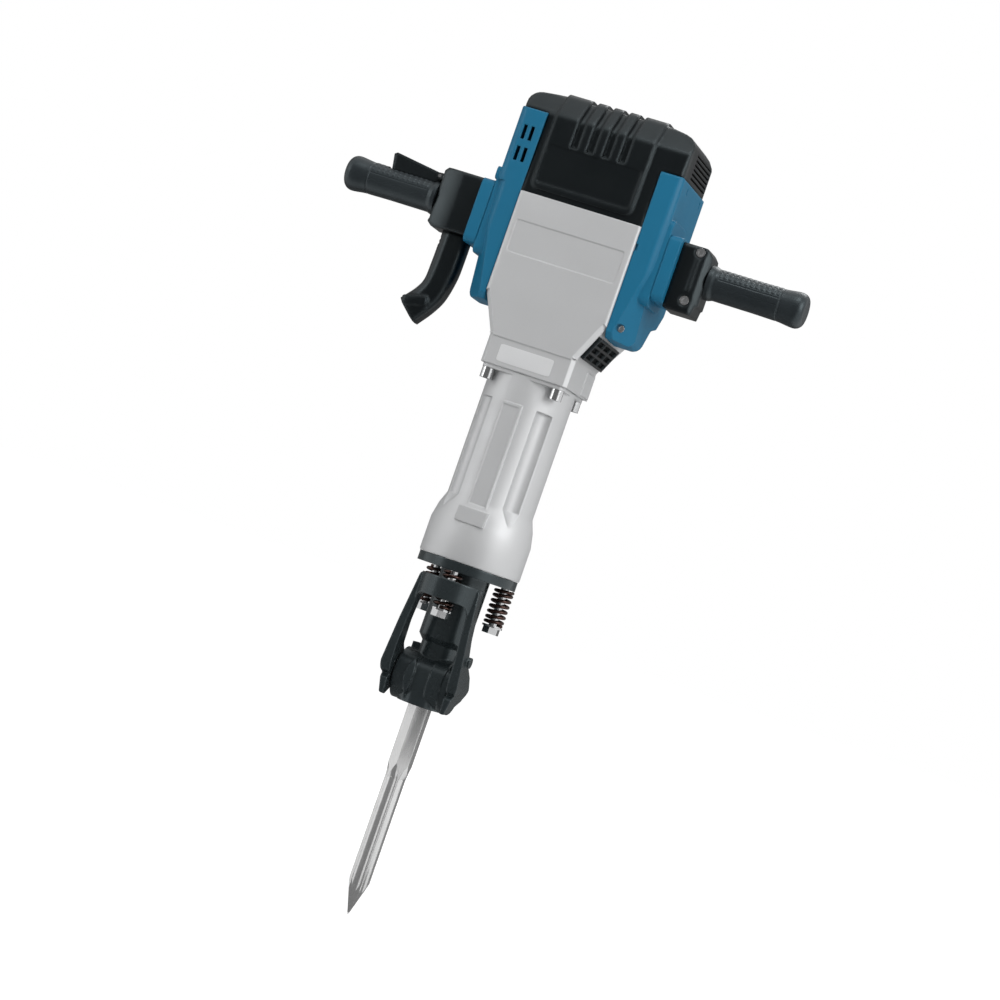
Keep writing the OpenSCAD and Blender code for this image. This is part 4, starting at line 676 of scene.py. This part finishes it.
@dataclass
class CoilSprings:
    """Wound springs with closed coils at both ends."""

    finishes: Finishes
    name: str
    node: str
    joint: str
    travel: float
    foot: float
    length: float
    ring: float
    places: tuple[float, ...]
    middle_y: float = 0.0
    mean: float = 11.5 * MM
    wire: float = 2.1 * MM
    turns: float = 7.0
    flat_turns: float = 0.4
    closed_turns: float = 0.9
    closed_gap: float = 0.15 * MM
    rings: int = 320
    sides: int = 14

    def rise(self, turn: Grid) -> Grid:
        """Height up the coil: the sum of a pitch that is close at the ends and open between them.

        Args:
            turn: Turns from the foot.

        Returns:
            The height of the wire's middle above the lowest.
        """
        low, high = self.flat_turns, self.flat_turns + self.closed_turns
        share = ease(turn, low, high) * ease(self.turns - turn, low, high)
        step = turn[1] - turn[0]
        close, open_part = (2 * self.wire + self.closed_gap) * step, np.cumsum(share) * step
        total = self.length - 2 * self.wire - close * (len(turn) - 1)
        return close * np.arange(len(turn)) + open_part / open_part[-1] * total

    def coil(self, place: float) -> Patch:
        """One spring: a circle of the wire's radius carried round a helix.

        Args:
            place: Its angle about the tool axis, in degrees.

        Returns:
            Its grid: helix point + wire radius x (cos k x outwards + sin k x across).
        """
        turn = np.linspace(0.0, self.turns, self.rings)
        angle = 2 * np.pi * turn
        out = np.stack([np.cos(angle), np.sin(angle), 0 * angle], -1)
        path = self.mean * out + np.stack([0 * turn, 0 * turn, self.foot + self.wire + self.rise(turn)], -1)
        ahead = np.gradient(path, axis=0)
        ahead /= np.linalg.norm(ahead, axis=1, keepdims=True)
        across = np.cross(ahead, out)
        k = np.linspace(0.0, 2 * np.pi, self.sides, endpoint=False)[None, :, None]
        points = path[:, None] + self.wire * (np.cos(k) * out[:, None] + np.sin(k) * across[:, None])
        points[..., 0] += self.ring
        c, s = math.cos(math.radians(place)), math.sin(math.radians(place))
        spin = np.array([[c, s, 0.0], [-s, c, 0.0], [0.0, 0.0, 1.0]])
        return Patch(points @ spin + np.array([0.0, self.middle_y, 0.0]))

    def build(self) -> None:
        """Makes the springs as one piece."""
        piece = surface(self.name, [self.coil(place) for place in self.places])
        self.finishes.dress(piece, "spring_steel")
        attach(piece, "housing")
        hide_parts(self.node)
        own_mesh(piece)
        log.info("%s: %d faces", self.name, len(piece.data.polygons))


@dataclass
class Grip:
    """A rubber grip: a waisted barrel with a flared end, a studded band and smooth panels."""

    finishes: Finishes
    node: str
    body: str
    side: int
    start: float
    axis_y: float = -15.0 * MM
    axis_z: float = 914.0 * MM
    length: float = 131.0 * MM
    waist: float = 20.8 * MM
    collar: float = 2.0 * MM
    collar_span: Span = (4.0 * MM, 11.0 * MM)
    swell: float = 0.5 * MM
    swell_span: Span = (60.0 * MM, 96.0 * MM)
    step_at: float = 97.0 * MM
    flare: float = 2.1 * MM
    round_from: float = 120.0 * MM
    round_drop: float = 9.5 * MM
    stud_pitch: float = 7.2 * MM
    stud_height: float = 0.55 * MM
    stud_radius: float = 21.0 * MM
    stud_squeeze: float = 0.8
    stud_power: float = 0.8
    band_half: float = 74.0
    band_span: Span = (13.0 * MM, 16.0 * MM)
    band_end: Span = (1.0 * MM, 3.0 * MM)
    groove: float = 0.03
    groove_off: float = 0.05
    step_groove: float = 0.7 * MM
    panel_off: float = 0.5
    panel_share: float = 0.6
    along: int = 330
    around: int = 280
    cap_rows: int = 26
    pocket: tuple[float, float, float] | None = None

    def profile(self, s: Grid) -> Grid:
        """Radius along the grip: a collar, a waist and a flare by smooth steps, then a quarter round.

        Args:
            s: Distance from the hub.

        Returns:
            The radius.
        """
        collar = self.collar * (1 - ease(s, *self.collar_span))
        body = self.waist + collar + self.swell * ease(s, *self.swell_span)
        flared = body + self.flare * ease(s, self.step_at, self.round_from)
        t = np.clip((s - self.round_from) / (self.length - self.round_from), 0.0, 1.0)
        return flared - self.round_drop * (1 - np.sqrt(np.maximum(0.0, 1 - t * t)))

    def relief(self, s: Grid, turn: Grid) -> Grid:
        """Height of studs on a band over the top, with fine grooves beside it and before the flare.

        A stud is the product of two cosines across a diamond lattice, cut off at nought.

        Args:
            s: Distance from the hub.
            turn: Angle from the top towards the front.

        Returns:
            The height.
        """
        u, v = s / self.stud_pitch, turn * self.stud_radius / (self.stud_squeeze * self.stud_pitch)
        studs = np.maximum(0.0, np.cos(np.pi * (u + v)) * np.cos(np.pi * (u - v))) ** self.stud_power
        half = math.radians(self.band_half)
        off = np.abs((turn + np.pi) % (2 * np.pi) - np.pi)
        end = [edge - self.step_at for edge in self.band_end]
        fade = ease(s, *self.band_span) * ease(-s, *end)
        inside = ease(-off, -half, 2 * self.groove - half) * fade
        beside, before = half + self.groove_off, ridge(s, self.step_at, self.step_groove)
        grooves = ridge(off, beside, self.groove) * fade + before
        panel = ridge(off, half + self.panel_off, self.groove) * fade * self.panel_share
        return self.stud_height * (studs * inside - grooves - panel)

    def pocketed(self, s: Grid, across: Grid, height: Grid) -> Grid:
        """Cuts the lever's room into the top: between its sides the height is at most its floor.

        Args:
            s: Distance from the hub.
            across: Distance from the middle towards the front.
            height: Height above the axis before the cut.

        Returns:
            The height after it.
        """
        reach, half, floor = self.pocket
        return np.where((s < reach) & (np.abs(across) < half), np.minimum(height, floor), height)

    def build(self) -> None:
        """Makes the grip: radius plus relief, turned about the handle's axis."""
        t = np.linspace(0.0, 1.0, self.along)
        bend = np.linspace(0.0, np.pi / 2, self.cap_rows)[1:]
        cap = self.round_from + (self.length - self.round_from) * np.sin(bend)
        s = np.concatenate([t * self.round_from, cap])
        turn = np.linspace(0.0, 2 * np.pi, self.around, endpoint=False)
        s, turn = np.meshgrid(s, turn, indexing="ij")
        radius = self.profile(s) + self.relief(s, turn)
        across, height = radius * np.sin(turn), radius * np.cos(turn)
        if self.pocket:
            height = self.pocketed(s, across, height)
        points = np.stack([self.side * (self.start + s), self.axis_y - across, self.axis_z + height], -1)
        piece = surface(self.node + "_rubber", [Patch(points)], sharp=70.0)
        self.finishes.dress(piece, "grip_rubber")
        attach(piece, self.body)
        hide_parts(self.node)
        log.info("%s: %d faces", self.node, len(piece.data.polygons))


@dataclass
class CordArm:
    """The moulded arm under the left hub that takes the cord in at its lower end."""

    finishes: Finishes
    depth: float = 36.0 * MM
    middle_y: float = -15.0 * MM
    bore: float = 7.0 * MM
    square: float = 3.6
    crest: float = 0.35
    crest_falls: Span = (0.30, 0.08)
    notches: Span = (858.7 * MM, 864.6 * MM)
    notch_width: float = 1.3 * MM
    notch_depth: float = 1.6 * MM
    notch_span: Span = (0.85, 1.0)
    clip: Span = (-178.4 * MM, 776.6 * MM)
    clip_size: Span = (34.0 * MM, 13.0 * MM)
    clip_way: Span = (-0.975, -0.222)
    clip_square: float = 6.0
    clip_rings: tuple[Span, ...] = ((1.0, -7.0), (1.0, 2.2), (0.96, 2.9), (0.88, 3.2))
    clip_around: int = 40
    mouth_rings: tuple[tuple[float, float, float], ...] = (
        (0.82, 0.0, 0.0), (0.80, 0.0, 5.0), (0.0, 1.0, 5.0), (0.0, 1.0, 38.0))
    along: int = 160
    around: int = 96
    inner: tuple[Span, ...] = (
        (-139.4, 874.7), (-139.5, 846.0), (-140.6, 820.0), (-147.0, 790.0), (-158.0, 769.0), (-173.1, 749.0))
    outer: tuple[Span, ...] = (
        (-178.0, 874.7), (-178.2, 852.0), (-178.6, 830.0), (-180.0, 808.0), (-187.5, 793.0), (-202.1, 775.9))

    def rows(self) -> Grid:
        """The arm's skin, its lip and its bore, as one run of rings.

        A ring is the middle of the two edge lines + half their distance x a squared cosine, with half the
        depth x a squared sine. The front falls off from a crest to both edges, and bells in the height make
        two notches. At the mouth the rings shrink to a lip, step in, and end in the round bore.

        Returns:
            The rings.
        """
        near, far = flowing(self.inner, self.along) * MM, flowing(self.outer, self.along) * MM
        turn = np.linspace(0.0, 2 * np.pi, self.around, endpoint=False)
        c, s = squared(turn, self.square)
        middle, half = (near + far) / 2, (far - near) / 2
        outer_fall, inner_fall = self.crest_falls
        fall = np.where(c > self.crest, outer_fall * (c - self.crest) / (1 - self.crest),
                        inner_fall * (self.crest - c) / (1 + self.crest))
        swell = np.broadcast_to(1.0 - fall * (s < 0), (self.along, self.around))
        bells = sum(ridge(far[:, 1:], z, self.notch_width) for z in self.notches)
        dent = bells * ease(c, *self.notch_span) * self.notch_depth
        body = np.stack([middle[:, :1] + half[:, :1] * c + dent, self.middle_y + self.depth / 2 * s * swell,
                         middle[:, 1:] + half[:, 1:] * c], -1)
        mouth, side = middle[-1], half[-1]
        span = np.linalg.norm(side)
        way = np.array([side[1], -side[0]]) / span
        way = way if way[1] < 0 else -way
        extra = []
        for share, round_share, inward in self.mouth_rings:
            across = share * span * c + round_share * self.bore * np.cos(turn)
            back = share * self.depth / 2 * s + round_share * self.bore * np.sin(turn)
            place = mouth - way * inward * MM
            extra.append(np.stack([place[0] + side[0] / span * across, self.middle_y + back,
                                   place[1] + side[1] / span * across], -1))
        return np.concatenate([body, np.array(extra)])

    def catch(self) -> Grid:
        """A raised block on the front, at the mouth's outer corner: squared rings that rise, then draw in."""
        turn = np.linspace(0.0, 2 * np.pi, self.clip_around, endpoint=False)
        c, s = squared(turn, self.clip_square)
        length, width = self.clip_size
        way, over = np.array(self.clip_way), np.array([self.clip_way[1], -self.clip_way[0]])
        flat = length / 2 * c[:, None] * way + width / 2 * s[:, None] * over
        rings = []
        for share, rise in self.clip_rings:
            place = np.array(self.clip) + share * flat
            front = np.full(self.clip_around, self.middle_y - self.depth / 2 - rise * MM)
            rings.append(np.stack([place[:, 0], front, place[:, 1]], -1))
        return np.array(rings)

    def build(self) -> None:
        """Makes the arm."""
        piece = surface("cord_arm_moulding", [Patch(self.rows()), Patch(self.catch())], sharp=34.0)
        self.finishes.dress(piece, "black_plastic")
        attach(piece, "left_handle")
        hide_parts("cord_arm")
        log.info("cord arm: %d faces", len(piece.data.polygons))


@dataclass
class Label:
    """The bare foil label on the front of the collar."""

    finishes: Finishes
    middle: Point = (-3.0 * MM, -59.0 * MM, 744.3 * MM)
    half: Span = (37.0 * MM, 11.3 * MM)
    proud: float = 0.35 * MM
    square: float = 14.0
    insets: tuple[Span, ...] = ((0.0, -0.2), (0.0, 0.6), (0.15, 0.9), (0.35, 1.0))
    around: int = 160

    def build(self) -> None:
        """Makes the label: rounded-oblong rings that rise from the collar, then draw in over a soft edge."""
        c, s = squared(np.linspace(0.0, 2 * np.pi, self.around, endpoint=False), self.square)
        rings = []
        for inset, rise in self.insets:
            wide, tall = (h - inset * MM for h in self.half)
            rings.append(np.stack([self.middle[0] + wide * c, 0 * c + self.middle[1] - rise * self.proud,
                                   self.middle[2] + tall * s], -1))
        piece = surface("collar_label", [Patch(np.array(rings))], sharp=34.0)
        self.finishes.dress(piece, "label_foil")
        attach(piece, "housing")
        log.info("collar label: %d faces", len(piece.data.polygons))


def main() -> None:
    """Builds the studio, dresses the solids and adds the fuller pieces in turn."""
    logging.basicConfig(level=logging.INFO, format="%(message)s")
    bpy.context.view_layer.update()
    Studio().build()
    finishes = Finishes()
    Solids(finishes).dress()
    CoilSprings(finishes, "tie_spring_coils", "tie_springs", "head_slide", travel=6 * MM, foot=410.7 * MM,
                length=50 * MM, ring=55.5 * MM, places=(-90.0, 30.0, 150.0)).build()
    for side, place in (("left", 180.0), ("right", 0.0)):
        CoilSprings(finishes, side + "_damper_coil", side + "_damper_spring", side + "_handle_slide",
                    travel=12 * MM, foot=864.1 * MM, length=34.5 * MM, ring=100 * MM, places=(place,),
                    middle_y=-15 * MM, mean=9.75 * MM, wire=1.9 * MM, turns=5.0).build()
    Grip(finishes, "left_grip", "left_handle", side=-1, start=199.1 * MM,
         pocket=(78 * MM, 10 * MM, 12 * MM)).build()
    Grip(finishes, "right_grip", "right_handle", side=1, start=181.1 * MM).build()
    CordArm(finishes).build()
    Label(finishes).build()


if __name__ == "__main__":
    main()
